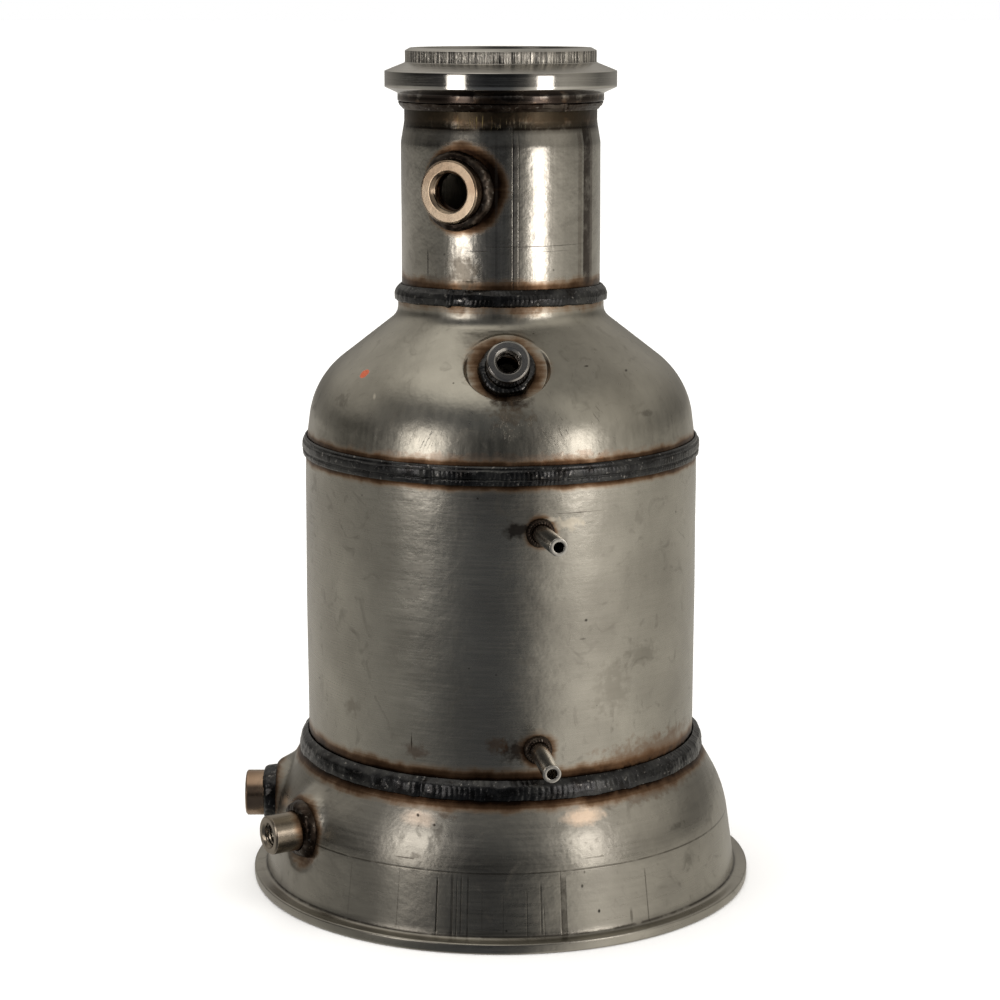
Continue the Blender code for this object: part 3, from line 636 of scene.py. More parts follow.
def drilled(made, *holes):
    """Cuts round holes, (frame, radius, depth), into a finished piece."""
    for place, radius, depth in holes:
        shape = bmesh.new()
        size = {"radius1": radius, "radius2": radius, "depth": depth}
        bmesh.ops.create_cone(shape, cap_ends=True, segments=HOLE_STEPS, **size)
        shape.transform(place)
        mesh = bpy.data.meshes.new("drill")
        shape.to_mesh(mesh)
        shape.free()
        drill = bpy.data.objects.new("drill", mesh)
        bpy.context.collection.objects.link(drill)
        cut = made.modifiers.new("hole", "BOOLEAN")
        cut.operation = "DIFFERENCE"
        cut.solver = "EXACT"
        cut.object = drill
        bpy.context.view_layer.update()
        seen = made.evaluated_get(bpy.context.evaluated_depsgraph_get())
        result = bpy.data.meshes.new_from_object(seen)
        made.modifiers.clear()
        made.data = result
        bpy.data.objects.remove(drill)
    made.data.shade_smooth()
    made.data.set_sharp_from_angle(angle=radians(SHARP_ANGLE))


# Can
# Rolled from 1.5 mm stainless sheet round the brick and its mat, and welded to the dome above
# and the bell below. Two pressure taps are let into it, above and below the brick.
CAN_WALL = 0.0015
CAN_STEPS = 300
CAN_SPACING = 0.0035
CAN_SWELLS = (0.06, 0.00030)
CAN_PINCH = (0.009, 0.0003)
DOME_SEAM_LIFT = 0.0041
TAP_RADIUS = 0.0045
TAP_HOLE = TAP_RADIUS + SEAT_GAP
# azimuth, tilt up and lean of each tap, and how far it is from the brick
UPPER_TAP = (10.9, 0.0, 3.1)
LOWER_TAP = (10.4, -3.0, 0.0)
UPPER_TAP_GAP = 0.0039
LOWER_TAP_GAP = 0.0035
CAN_MARKS = (
    # azimuth, height, radii, colour, strength, raggedness
    (4.5, 0.0945, (0.0100, 0.0120, 0.0070), "#2f2119", 0.85, 0.45),
    (-1.5, 0.0975, (0.0070, 0.0100, 0.0050), "#6a4f3b", 0.65, 0.50),
    (-24.4, 0.0915, (0.0075, 0.0100, 0.0045), "#5d4535", 0.60, 0.50),
    (4.6, 0.2052, (0.0085, 0.0100, 0.0048), "#231b18", 0.85, 0.45),
    (19.0, 0.2075, (0.0080, 0.0100, 0.0034), "#d9cfbc", 0.50, 0.60),
    (21.7, 0.2127, (0.0150, 0.0150, 0.0003), "#3a312a", 0.70, 0.20),
    (14.0, 0.2100, (0.0040, 0.0080, 0.0012), "#e0d8c8", 0.60, 0.60),
    (-25.8, 0.0965, (0.0004, 0.0080, 0.0052), "#2c2018", 0.90, 0.20),
    (24.3, 0.1585, (0.0010, 0.0060, 0.0009), "#1f1a17", 0.85, 0.20),
    (23.2, 0.1492, (0.0020, 0.0080, 0.0006), "#3a342e", 0.50, 0.30),
    (-48.0, 0.1080, (0.0080, 0.0080, 0.0050), "#6a5f52", 0.35, 0.60),
    (44.0, 0.1360, (0.0140, 0.0140, 0.0070), "#6f6a60", 0.35, 0.60),
    (33.0, 0.1220, (0.0120, 0.0140, 0.0160), "#7d776c", 0.30, 0.70),
    (50.0, 0.0860, (0.0420, 0.0500, 0.0085), "#7c5c42", 0.60, 0.45),
)

can_low, can_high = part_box("filter_can")
CAN_RADIUS = can_high.x
bell_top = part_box("bell_cone")[1].z
dome_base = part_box("dome_cone")[0].z
dome_seam = dome_base + DOME_SEAM_LIFT
can_profile = [Vector((CAN_RADIUS, can_low.z)), Vector((CAN_RADIUS, can_high.z))]


def tap_place(azimuth, tilt, lean, level):
    """A pressure tap's frame: origin on the can, Z along the tube."""
    turn = Matrix.Rotation(radians(azimuth), 4, "Z") @ Matrix.Translation((0.0, -CAN_RADIUS, level))
    return turn @ Matrix.Rotation(radians(90.0 - tilt), 4, "X") @ Matrix.Rotation(radians(lean), 4, "Y")


upper_tap = tap_place(*UPPER_TAP, brick_high.z + UPPER_TAP_GAP)
lower_tap = tap_place(*LOWER_TAP, brick_low.z - LOWER_TAP_GAP)
# Satin sheet, brushed round the can: soft upright highlights, browned beside the beads
can_steel = steel(
    "rolled_stainless_can", "#b5b1a7", "#9f9b92", 0.27, (0.020, 0.020, 0.0011),
    rings=((bell_top, 0.0040, 0.0150), (dome_seam, 0.0044, 0.0110)),
    spots=((upper_tap.translation, 0.0045, 0.0125), (lower_tap.translation, 0.0045, 0.0150)),
    marks=laid(can_profile, CAN_MARKS),
)
inner = CAN_RADIUS - CAN_WALL
shape = turned([(CAN_RADIUS, can_low.z, 0.0), (CAN_RADIUS, can_high.z, 0.0),
                (inner, can_high.z, 0.0), (inner, can_low.z, 0.0)], CAN_STEPS, CAN_SPACING)
wavy(shape, *CAN_SWELLS)
pinched(shape, can_high.z, *CAN_PINCH)
can = piece("can_shell", shape, can_steel, "shell", "filter_can")
drilled(can, (upper_tap, TAP_HOLE, 0.02), (lower_tap, TAP_HOLE, 0.02))


# Pressure taps
# Short bright drawn tubes let into the can on either side of the brick, for the hoses of the
# pressure sensor; their mouths are cut square and lightly deburred.
TAP_BORE = 0.0026
TAP_STEPS = 48
TAP_SPACING = 0.0012

# Bright tube: the palest metal on the part, hardly worn, a little brown at its root
tap_steel = steel(
    "bright_drawn_tube", "#d3d0ca", "#aba7a0", 0.20, (0.006, 0.006, 0.006), wear=0.5,
    spots=((upper_tap.translation, 0.002, 0.010), (lower_tap.translation, 0.002, 0.010)),
)
for name, place, length in (
    ("upper_pressure_tap", upper_tap, 0.0340),
    ("lower_pressure_tap", lower_tap, 0.0350),
):
    section = [(TAP_BORE, -CAN_WALL, 0.0), (TAP_RADIUS, -CAN_WALL, 0.0), (TAP_RADIUS, length, 0.0004),
               (TAP_BORE, length, 0.0003)]
    shape = turned(section, TAP_STEPS, TAP_SPACING, place)
    piece(name + "_tube", shape, tap_steel, "pressure_tap", name)


# Inlet bell
# Spun from 1.8 mm stainless sheet, with a formed lip for the band clamp; the forming tool left
# a faint draw line and upright creases above the lip.
BELL_WALL = 0.0018
BELL_STEPS = 360
BELL_SPACING = 0.0025
BELL_SWELLS = (0.05, 0.0003, 3.0)
LIP_WIDTH = 0.00685
LIP_THICKNESS = 0.0054
LIP_SHADOW = 0.0011
FOOT_ROUND = 0.0025
BELL_COLLAR = 0.0020
BELL_COLLAR_ROUND = 0.005
BELL_WAIST_SHARE = 0.708
BELL_WAIST_HEIGHT = 0.0465
BELL_WAIST_ROUND = 0.063
DRAW_LINE = 0.0375
# azimuth and tilt of each boss, its radius, and the level and radii of its flat seat
FRONT_BOSS = (-58.3, 0.0)
REAR_BOSS = (-90.0, 0.0)
FRONT_BOSS_RADIUS = 0.0100
REAR_BOSS_RADIUS = 0.0120
FRONT_SEAT = (-0.0073, 0.0150, 0.0215)
REAR_SEAT = (-0.0052, 0.0155, 0.0230)
# Painted shade: the creases are drawn as dark brown lines over a slight groove in the bump
CREASE_SHADE = "#3a342d"
CREASES = (
    # azimuth, half width in degrees, low, high, strength
    (-38.0, 0.14, 0.008, 0.036, 0.25), (-24.6, 0.12, 0.007, 0.036, 0.35), (-14.9, 0.17, 0.007, 0.034, 0.85),
    (-11.3, 0.30, 0.006, 0.036, 0.45), (-10.2, 0.12, 0.006, 0.036, 0.55), (-9.2, 0.16, 0.008, 0.036, 0.55),
    (-7.6, 0.20, 0.006, 0.036, 0.50), (-4.3, 0.10, 0.010, 0.030, 0.30), (0.5, 0.12, 0.008, 0.026, 0.35),
    (6.0, 0.12, 0.006, 0.030, 0.45), (9.3, 0.20, 0.008, 0.032, 0.50), (10.0, 0.10, 0.006, 0.020, 0.45),
    (14.7, 0.62, 0.006, 0.034, 0.60), (14.0, 0.14, 0.006, 0.037, 0.60), (31.6, 0.35, 0.008, 0.014, 0.50),
    (36.4, 0.16, 0.006, 0.032, 0.60),
)
BELL_MARKS = (
    # azimuth, height, radii, colour, strength, raggedness
    # The first two are straw heat tint, lightened into painted highlights below the bead
    (-21.5, 0.0605, (0.0110, 0.0140, 0.0046), "#f8e4d0", 0.65, 0.20),
    (21.5, 0.0612, (0.0130, 0.0160, 0.0048), "#fbe0c6", 0.70, 0.20),
    (46.0, 0.0655, (0.0320, 0.0400, 0.0045), "#6e5643", 0.50, 0.50),
    (-13.9, 0.0625, (0.0050, 0.0080, 0.0022), "#5c4a3c", 0.60, 0.60),
    (-15.8, 0.0555, (0.0035, 0.0080, 0.0060), "#5d5953", 0.60, 0.50),
    (-17.3, 0.0500, (0.0022, 0.0080, 0.0045), "#5f5c57", 0.50, 0.50),
    (-21.8, 0.0618, (0.0009, 0.0060, 0.0009), "#2c1d15", 0.90, 0.10),
    (-17.0, 0.0583, (0.0012, 0.0060, 0.0009), "#2a1c14", 0.90, 0.20),
    (-23.5, 0.0422, (0.0055, 0.0060, 0.0005), "#4e463e", 0.70, 0.35),
    (-20.5, 0.0435, (0.0030, 0.0060, 0.0016), "#6c655c", 0.45, 0.60),
    (-60.6, 0.0253, (0.0016, 0.0016, 0.0016), "#3b342d", 0.70, 0.30),
    (49.8, 0.0475, (0.0050, 0.0060, 0.0018), "#4d4a44", 0.50, 0.60),
    (23.2, 0.0160, (0.0009, 0.0040, 0.0012), "#15110f", 0.95, 0.10),
    (19.3, 0.0293, (0.0007, 0.0040, 0.0012), "#221d1a", 0.80, 0.20),
    (20.0, 0.0360, (0.0006, 0.0040, 0.0010), "#3c3630", 0.60, 0.20),
    (23.5, 0.0425, (0.0050, 0.0060, 0.0005), "#5a554d", 0.45, 0.80),
    (52.0, 0.0300, (0.0040, 0.0060, 0.0080), "#4f4b43", 0.30, 0.60),
)
BELL_DENTS = (
    # azimuth, height, reach, depth
    (-60.6, 0.0253, 0.0016, 0.0005),
)

LIP_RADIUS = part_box("bell_cone")[1].x
COLLAR_RADIUS = CAN_RADIUS + SEAT_GAP + BELL_WALL
FOOT_RADIUS = LIP_RADIUS - LIP_WIDTH
WAIST_RADIUS = COLLAR_RADIUS + BELL_WAIST_SHARE * (FOOT_RADIUS - COLLAR_RADIUS)
bell_outer = [
    # radius, height, fillet
    (FOOT_RADIUS, LIP_THICKNESS, FOOT_ROUND),
    (WAIST_RADIUS, BELL_WAIST_HEIGHT, BELL_WAIST_ROUND),
    (COLLAR_RADIUS, bell_top - BELL_COLLAR, BELL_COLLAR_ROUND),
    (COLLAR_RADIUS, bell_top, 0.0004),
]
bell_profile = rounded(bell_outer, 0.002, closed=False)


def moved(corners, distance):
    """A climbing outline moved outwards by a distance, cut level at its ends."""
    ways = [(Vector(b[:2]) - Vector(a[:2])).normalized() for a, b in zip(corners, corners[1:])]
    sides = [Vector((way.y, -way.x)) for way in ways]
    shifted = [(corners[0][0] + distance / sides[0].x, corners[0][1], corners[0][2])]
    for corner, before, after in zip(corners[1:], sides, sides[1:]):
        shift = (before + after) * distance / (1 + before.dot(after))
        shifted.append((corner[0] + shift.x, corner[1] + shift.y, corner[2]))
    return [*shifted, (corners[-1][0] + distance / sides[-1].x, corners[-1][1], corners[-1][2])]


front_boss = boss_place("front_bell_boss", *FRONT_BOSS)
rear_boss = boss_place("rear_bell_boss", *REAR_BOSS)
bell_inner = moved(bell_outer, -BELL_WALL)
slope = (bell_inner[0][0] - bell_inner[1][0]) / (bell_inner[1][1] - bell_inner[0][1])
bell_section = [
    (bell_inner[0][0] + slope * LIP_THICKNESS, 0.0, 0.0008),
    (LIP_RADIUS, 0.0, 0.0014),
    (LIP_RADIUS, LIP_THICKNESS, 0.0010),
    *bell_outer,
    *bell_inner[:0:-1],
]
# Satin sheet with a level grain: two broad highlights, brightened below the bead by painted highlights,
# crossed by upright creases over the lip that are darkened with painted shade
bell_steel = steel(
    "spun_stainless_bell", "#afaba1", "#96928a", 0.29, (0.030, 0.030, 0.0014),
    rings=((bell_top - 0.0010, 0.0047, 0.0140),),
    spots=((front_boss.translation, 0.0135, 0.0260), (rear_boss.translation, 0.0150, 0.0280)),
    marks=laid(bell_profile, BELL_MARKS),
    lines=[(*crease[:4], CREASE_SHADE, crease[4]) for crease in CREASES],
    # The draw line's dark line is painted shade over a slight groove, and the band just above the lip is
    # painted shadow in its corner
    bands=((DRAW_LINE, 0.0004, "#4a443c", 0.65), (LIP_THICKNESS + LIP_SHADOW, 0.0005, "#2e2822", 0.8)),
)
shape = turned(bell_section, BELL_STEPS, BELL_SPACING)
wavy(shape, *BELL_SWELLS)
dented(shape, *laid(bell_profile, BELL_DENTS))
flattened(shape, front_boss, bell_profile, BELL_WALL, *FRONT_SEAT)
flattened(shape, rear_boss, bell_profile, BELL_WALL, *REAR_SEAT)
bell = piece("bell_shell", shape, bell_steel, "shell", "bell_cone")
drilled(bell, (front_boss, FRONT_BOSS_RADIUS + SEAT_GAP, 0.06),
        (rear_boss, REAR_BOSS_RADIUS + SEAT_GAP, 0.06))


# Outlet dome
# Pressed from 1.8 mm stainless sheet, necked to a short collar, with a round pad struck into its
# shoulder as the seat of the sensor boss.
DOME_WALL = 0.0018
DOME_STEPS = 300
DOME_SPACING = 0.0028
DOME_SWELLS = (0.05, 0.0003, 7.0)
DOME_PINCH = (0.008, 0.0003)
DOME_COLLAR = 0.0101
DOME_COLLAR_ROUND = 0.0080
SHOULDER_HEIGHT = 0.0376
SHOULDER_IN = 0.0050
SHOULDER_ROUND = 0.0620
PAD_RADIUS = 0.0210
PAD_AZIMUTH = 2.4
PAD_TILT = 36.0
PAD_DEPTH = 0.0050
PAD_BELOW_COLLAR = 0.0174
PAD_EDGE = (PAD_RADIUS - 0.0014, PAD_RADIUS + 0.0006)
PAD_HALVINGS = (
    # shares of the pad's radius between which edges are halved, and if on the inner side too
    (0.0, 1.22, True), (0.0, 1.22, True), (0.84, 1.16, False),
)
DOME_BOSS_TILT = 24.0
DOME_BOSS_RADIUS = 0.01045
DOME_MARKS = (
    # azimuth, height, radii, colour, strength, raggedness, lean of the scratches
    # The first two are heat tint deepened by painted shade below the pad's lower edge, dark at the edge and
    # browner below it
    (3.4, 0.2665, (0.0125, 0.0200, 0.0045), "#2b1f18", 0.90, 0.40),
    (3.2, 0.2600, (0.0120, 0.0150, 0.0055), "#6d5c4b", 0.50, 0.90),
    (-56.2, 0.2612, (0.0060, 0.0060, 0.0040), "#5d564c", 0.35, 0.80),
    (-42.4, 0.2655, (0.0009, 0.0030, 0.0022), "#e6dfd0", 0.80, 0.20),
    (48.2, 0.2567, (0.0060, 0.0060, 0.0016), "#4c463e", 0.45, 0.60),
    (33.0, 0.2801, (0.0014, 0.0030, 0.0005), "#2c2722", 0.80, 0.20),
    (49.2, 0.2764, (0.0010, 0.0030, 0.0008), "#2c2722", 0.80, 0.20),
    (0.0, 0.2405, (0.0900, 0.1300, 0.0024), "#8f6446", 0.30, 0.70),
    # Pale scratches at the lower left, lightened into a painted highlight
    (-22.5, 0.2500, (0.0130, 0.0200, 0.0080), "#efe9dc", 0.75, 0.30, 24.0),
    (15.5, 0.2540, (0.0100, 0.0200, 0.0100), "#4a433b", 0.65, 0.30, -22.0),
    (29.5, 0.2590, (0.0050, 0.0200, 0.0060), "#4a433b", 0.65, 0.30, -30.0),
    (3.0, 0.2560, (0.0140, 0.0200, 0.0080), "#4a3c30", 0.75, 0.30, 0.0),
)
PAINT_DAB = (-53.3, 0.2744, (0.0031, 0.0031, 0.0033), "#b4502c", 1.0, 0.12)

dome_low, dome_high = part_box("dome_cone")
neck_low, neck_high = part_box("neck_tube")
NECK_RADIUS = neck_high.x
DOME_COLLAR_RADIUS = NECK_RADIUS + SEAT_GAP + DOME_WALL
dome_outer = [
    # radius, height, fillet
    (CAN_RADIUS, dome_low.z, 0.0004),
    (CAN_RADIUS - SHOULDER_IN, dome_low.z + SHOULDER_HEIGHT, SHOULDER_ROUND),
    (DOME_COLLAR_RADIUS, dome_high.z - DOME_COLLAR, DOME_COLLAR_ROUND),
    (DOME_COLLAR_RADIUS, dome_high.z, 0.0004),
]
dome_inner = moved(dome_outer, -DOME_WALL)
dome_profile = rounded(dome_outer, 0.001, closed=False)
pad_height = dome_high.z - DOME_COLLAR - PAD_BELOW_COLLAR
pad = (Matrix.Rotation(radians(PAD_AZIMUTH), 4, "Z")
       @ Matrix.Translation((0.0, -radius_at(dome_profile, pad_height), pad_height))
       @ Matrix.Rotation(radians(90.0 - PAD_TILT), 4, "X"))
dome_boss = boss_place("dome_sensor_boss", PAD_AZIMUTH, DOME_BOSS_TILT)
pad_floor = pad @ Vector((0.0, 0.0, -PAD_DEPTH))

shape = turned([*dome_outer, *dome_inner[::-1]], DOME_STEPS, DOME_SPACING)
wavy(shape, *DOME_SWELLS)
pinched(shape, dome_low.z, *DOME_PINCH)
back = pad.inverted()
for inner, outer, both in PAD_HALVINGS:
    near = {vert for vert in shape.verts
            if inner < (back @ vert.co).xy.length / PAD_RADIUS < outer and (back @ vert.co).z > FAR_SIDE
            and (both or not on_inside(vert, dome_profile, DOME_WALL))}
    edges = [edge for edge in shape.edges if near.issuperset(edge.verts)]
    bmesh.ops.subdivide_edges(shape, edges=edges, cuts=1, use_grid_fill=True)
flattened(shape, pad, dome_profile, DOME_WALL, -PAD_DEPTH, *PAD_EDGE)
# Satin sheet, its grain running up the dome: soft highlights drawn out over the shoulder
dome_steel = steel(
    "pressed_stainless_dome", "#b4b0a5", "#9a968c", 0.30, (0.0030, 0.0030, 0.040),
    rings=((dome_seam, 0.0038, 0.0118), (dome_high.z, -0.0050, 0.0120)),
    spots=((pad_floor, 0.0100, 0.0290),),
    marks=laid(dome_profile, DOME_MARKS),
    paint=laid(dome_profile, (PAINT_DAB,)),
)
dome = piece("dome_shell", shape, dome_steel, "shell", "dome_cone")
drilled(dome, (dome_boss, DOME_BOSS_RADIUS + SEAT_GAP, 0.05))


# Neck tube
# Drawn 4 inch tube with a rolled and planished seam, necked down at its top to enter the
# outlet flange; long draw lines and a few scratches run along it.
NECK_WALL = 0.0016
NECK_STEP = 0.0018
NECK_STEPS = 220
NECK_SPACING = 0.0025
NECK_SWELLS = (0.04, 0.00015, 11.0)
# how far under the neck's end it starts and stops narrowing, and how gently it bends there
NECKING_START = 0.0255
NECKING_STOP = 0.0150
NECKING_ROUND = 0.012
NECK_BOSS = (-26.4, 0.0)
NECK_BOSS_RADIUS = 0.0157
NECK_LINES = (
    # azimuth, half width in degrees, low, high, colour, strength
    (6.8, 0.45, 0.316, 0.396, "#3b3632", 0.55), (10.0, 0.35, 0.318, 0.392, "#45403b", 0.40),
    (58.0, 3.6, 0.316, 0.398, "#2b1e17", 0.85), (63.0, 1.5, 0.316, 0.396, "#3f2f25", 0.60),
    (51.0, 1.6, 0.320, 0.392, "#5d4f43", 0.35), (-45.7, 0.45, 0.322, 0.334, "#1f1712", 0.80),
    (-2.5, 0.8, 0.320, 0.392, "#5b5652", 0.25),
)
NECK_MARKS = (
    # azimuth, height, radii, colour, strength, raggedness, lean of the scratches
    (20.0, 0.3372, (0.0340, 0.0500, 0.0003), "#332b26", 0.75, 0.15),
    (-14.0, 0.3350, (0.0080, 0.0300, 0.0003), "#2c2521", 0.80, 0.15),
    (30.0, 0.3345, (0.0120, 0.0300, 0.0002), "#4a423b", 0.60, 0.15),
    # The three pale patches below are painted highlights on the dents beside the boss
    (-19.5, 0.3290, (0.0035, 0.0080, 0.0005), "#efe9de", 0.85, 0.40),
    (-17.5, 0.3262, (0.0045, 0.0080, 0.0004), "#e9e1d4", 0.75, 0.40),
    (-14.8, 0.3222, (0.0022, 0.0080, 0.0010), "#f2ede2", 0.80, 0.70),
    (-17.5, 0.3200, (0.0050, 0.0080, 0.0006), "#2a211c", 0.60, 0.60),
    (-38.0, 0.3200, (0.0100, 0.0200, 0.0040), "#5a4535", 0.40, 0.60),
    (-21.5, 0.3250, (0.0110, 0.0200, 0.0125), "#5c554b", 0.80, 0.40),
    (-12.5, 0.3975, (0.0170, 0.0200, 0.0040), "#9c8a5e", 0.80, 0.30, 0.0),
    (12.0, 0.3970, (0.0150, 0.0200, 0.0040), "#7d7763", 0.60, 0.30, 0.0),
)
NECK_DENTS = (
    # azimuth, height, reach, depth
    (-19.0, 0.3275, 0.010, 0.00025), (-20.0, 0.3890, 0.009, 0.00030),
)

neck_boss = boss_place("neck_sensor_boss", *NECK_BOSS)
NECK_TOP_RADIUS = NECK_RADIUS - NECK_STEP
neck_outer = [
    # radius, height, fillet
    (NECK_RADIUS, neck_low.z, 0.0),
    (NECK_RADIUS, neck_high.z - NECKING_START, NECKING_ROUND),
    (NECK_TOP_RADIUS, neck_high.z - NECKING_STOP, NECKING_ROUND),
    (NECK_TOP_RADIUS, neck_high.z, 0.0),
]
neck_profile = rounded(neck_outer, 0.001, closed=False)
# Brighter than the shells, with long upright draw lines that streak its highlights
neck_steel = steel(
    "drawn_stainless_tube", "#b6b2a9", "#99958d", 0.22, (0.0016, 0.0016, 0.060), wear=0.8,
    rings=((dome_high.z + 0.0018, 0.0030, 0.0150), (neck_high.z - 0.0070, 0.0020, 0.0150)),
    spots=((on_shell(neck_profile, -22.5, neck_boss.translation.z + 0.0010), 0.0188, 0.0272),),
    marks=laid(neck_profile, NECK_MARKS),
    lines=NECK_LINES,
    # The broad dark band below the flange is painted shade under its rim
    bands=((neck_high.z - 0.0125, 0.0062, "#40382d", 0.92), (neck_high.z - 0.0172, 0.0006, "#1f1612", 0.60)),
)
shape = turned([*neck_outer, *moved(neck_outer, -NECK_WALL)[::-1]], NECK_STEPS, NECK_SPACING)
wavy(shape, *NECK_SWELLS)
dented(shape, *laid(neck_profile, NECK_DENTS))
neck = piece("neck_shell", shape, neck_steel, "neck_tube", "neck_tube")
drilled(neck, (neck_boss, NECK_BOSS_RADIUS + SEAT_GAP, 0.05))


# Outlet flange
# Turned from stainless bar for a V-band clamp: a polished rim with a cone above it, a
# bevelled pilot that centres the outlet pipe, and a socket round the neck's end.
FLANGE_STEPS = 240
FLANGE_SPACING = 0.0015
HUB_WALL = 0.0034
HUB_TOP = 0.0040
SOCKET_DEPTH = 0.0052
BORE_STEP = 0.0055
RIM_LOW = 0.0070
RIM_HIGH = 0.0150
PILOT_WALL = 0.0050
PILOT_LOW = 0.0192
PILOT_HIGH = 0.0251
FLANGE_TOP = 0.0265
BEVEL = 0.0026

flange_low, flange_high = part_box("neck_flange")
base = flange_low.z
hub = NECK_TOP_RADIUS + HUB_WALL
rim = flange_high.x
bore = NECK_TOP_RADIUS - BORE_STEP
pilot = bore + PILOT_WALL
socket = NECK_TOP_RADIUS + SEAT_GAP
flange_section = [(radius, base + height, fillet) for radius, height, fillet in (
    (socket, 0.0, 0.0), (hub, 0.0, 0.0006), (hub, HUB_TOP, 0.0006), (rim, RIM_LOW, 0.0004),
    (rim, RIM_HIGH, 0.0004), (pilot, PILOT_LOW, 0.0005), (pilot, PILOT_HIGH, 0.0003),
    (pilot - BEVEL, FLANGE_TOP, 0.0004), (bore, FLANGE_TOP, 0.0005), (bore, SOCKET_DEPTH, 0.0),
    (socket, SOCKET_DEPTH, 0.0),
)]
# Polished bar: mirror-like rim with fine turning rings, painted shade round its hub under the rim, cuts on
# the pilot
flange_steel = steel(
    "turned_stainless_flange", "#c4c1bb", "#b4b1ab", 0.09, (0.050, 0.050, 0.0005), fine=0.000005, wear=0.15,
    hammered=0.00001,
    rings=((base - 0.0030, 0.0005, 0.0110),),
    # Painted shade: the dark band round the hub stands for the shade under the rim
    bands=((base + 0.0018, 0.0040, "#352e2a", 0.97),),
    tooling=(base + RIM_HIGH + 0.0001, base + PILOT_LOW + 0.0002, base + PILOT_HIGH - 0.0001, pilot - 0.0006,
             "#26221f", "#ded8cd"),
)
shape = turned(flange_section, FLANGE_STEPS, FLANGE_SPACING)
piece("flange_ring", shape, flange_steel, "neck_flange", "neck_flange")


# Sensor bosses
# Turned from stainless bar, faced, chamfered and threaded for their sensors, then welded on;
# the heat of welding has browned each by a different amount.
THREAD_PITCH = 0.0015
THREAD_DEPTH = 0.0007
THREAD_START = 0.0008
THREAD_STOP = 0.0003
ON_BORE = 0.0001
EDGE = 0.0008
MOUTH = 0.0012
FAR = 0.2
BOSS_STEPS = 96
BOSS_SPACING = 0.00055
BOSSES = (
    # node, frame, radius, bore, length above and below the seat, height up to which the welding
    # browned it, pale and deep tone, roughness
    ("neck_sensor_boss", neck_boss, NECK_BOSS_RADIUS,
     0.0093, 0.0077, 0.0032, 0.0060, "#968978", "#755f4c", 0.24),
    ("dome_sensor_boss", dome_boss, DOME_BOSS_RADIUS,
     0.00555, 0.0180, 0.0070, 0.0110, "#bcb8b3", "#96928e", 0.20),
    ("front_bell_boss", front_boss, FRONT_BOSS_RADIUS,
     0.00565, 0.0200, 0.0054, 0.0140, "#b0a799", "#8f8578", 0.24),
    ("rear_bell_boss", rear_boss, REAR_BOSS_RADIUS,
     0.0070, 0.0168, 0.0054, 0.0120, "#b29a84", "#8f7662", 0.24),
)

seats = []
for name, place, outer, hole, length, inset, burnt, pale, deep, roughness in BOSSES:
    middle = (length - inset) / 2
    # Turned bar: clean and smooth at its end, browned towards the bead, which is nearer to a
    # point far behind it on its axis
    far = place @ Vector((0.0, 0.0, -FAR - middle))
    skin = steel(name + "_steel", pale, deep, roughness, (0.004, 0.004, 0.004), wear=0.6, hammered=0.00003,
                 spots=((far, FAR + 0.0010, FAR + burnt),))
    section = [(hole, -inset, 0.0), (outer, -inset, 0.0), (outer, length - EDGE, 0.0003),
               (outer - EDGE, length, 0.0003), (hole + MOUTH, length, 0.0002), (hole, length - MOUTH, 0.0002)]
    shape = turned(section, BOSS_STEPS, BOSS_SPACING)
    for vert in shape.verts:
        out = vert.co.xy.length
        if out < hole + ON_BORE and -inset + THREAD_START < vert.co.z < length - MOUTH - THREAD_STOP:
            turns = vert.co.z / THREAD_PITCH - atan2(vert.co.y, vert.co.x) / (2 * pi)
            deeper = THREAD_DEPTH * (1 - abs(2 * (turns - floor(turns)) - 1))
            vert.co.xy *= (out + deeper) / out
    seats.append(place @ Matrix.Translation((0.0, 0.0, -middle)))
    shape.transform(seats[-1])
    piece(name + "_turned", shape, skin, "sensor_boss", name)


# Weld beads
# Laid with a wire-fed torch in one or two passes: graphite-grey, calm on one side of the place
# where the pass starts and rippled and rough on the other, with small bright glints painted into its colour.
RIPPLE_STEPS = 6
# patches, painted glints and pits of the metal to a metre: about 11, 2 and 2.4 mm apart
PATCHES = 95.0
PAINTED_GLINTS = 520.0
PITS = 420.0
PIT_DEPTH = 0.00016
PATCH_GLOSS = 0.08
# how far the bead strays up and down, over what length, and the sizes of its lumps and roughness
WANDER = 0.0004
WANDER_LENGTH = 0.006
LUMPS = (0.011, 0.004)
CRUMBS = 0.0014
RIPPLE_DRIFT = 0.018
COVER_FADE = 0.0008
CALM = 0.25
# depth of the crater at the stop and height of the crest before it, with widths in radians
CRATER = (0.0007, 0.012)
CREST = (0.0006, 0.02)
CREST_BEFORE = 0.035


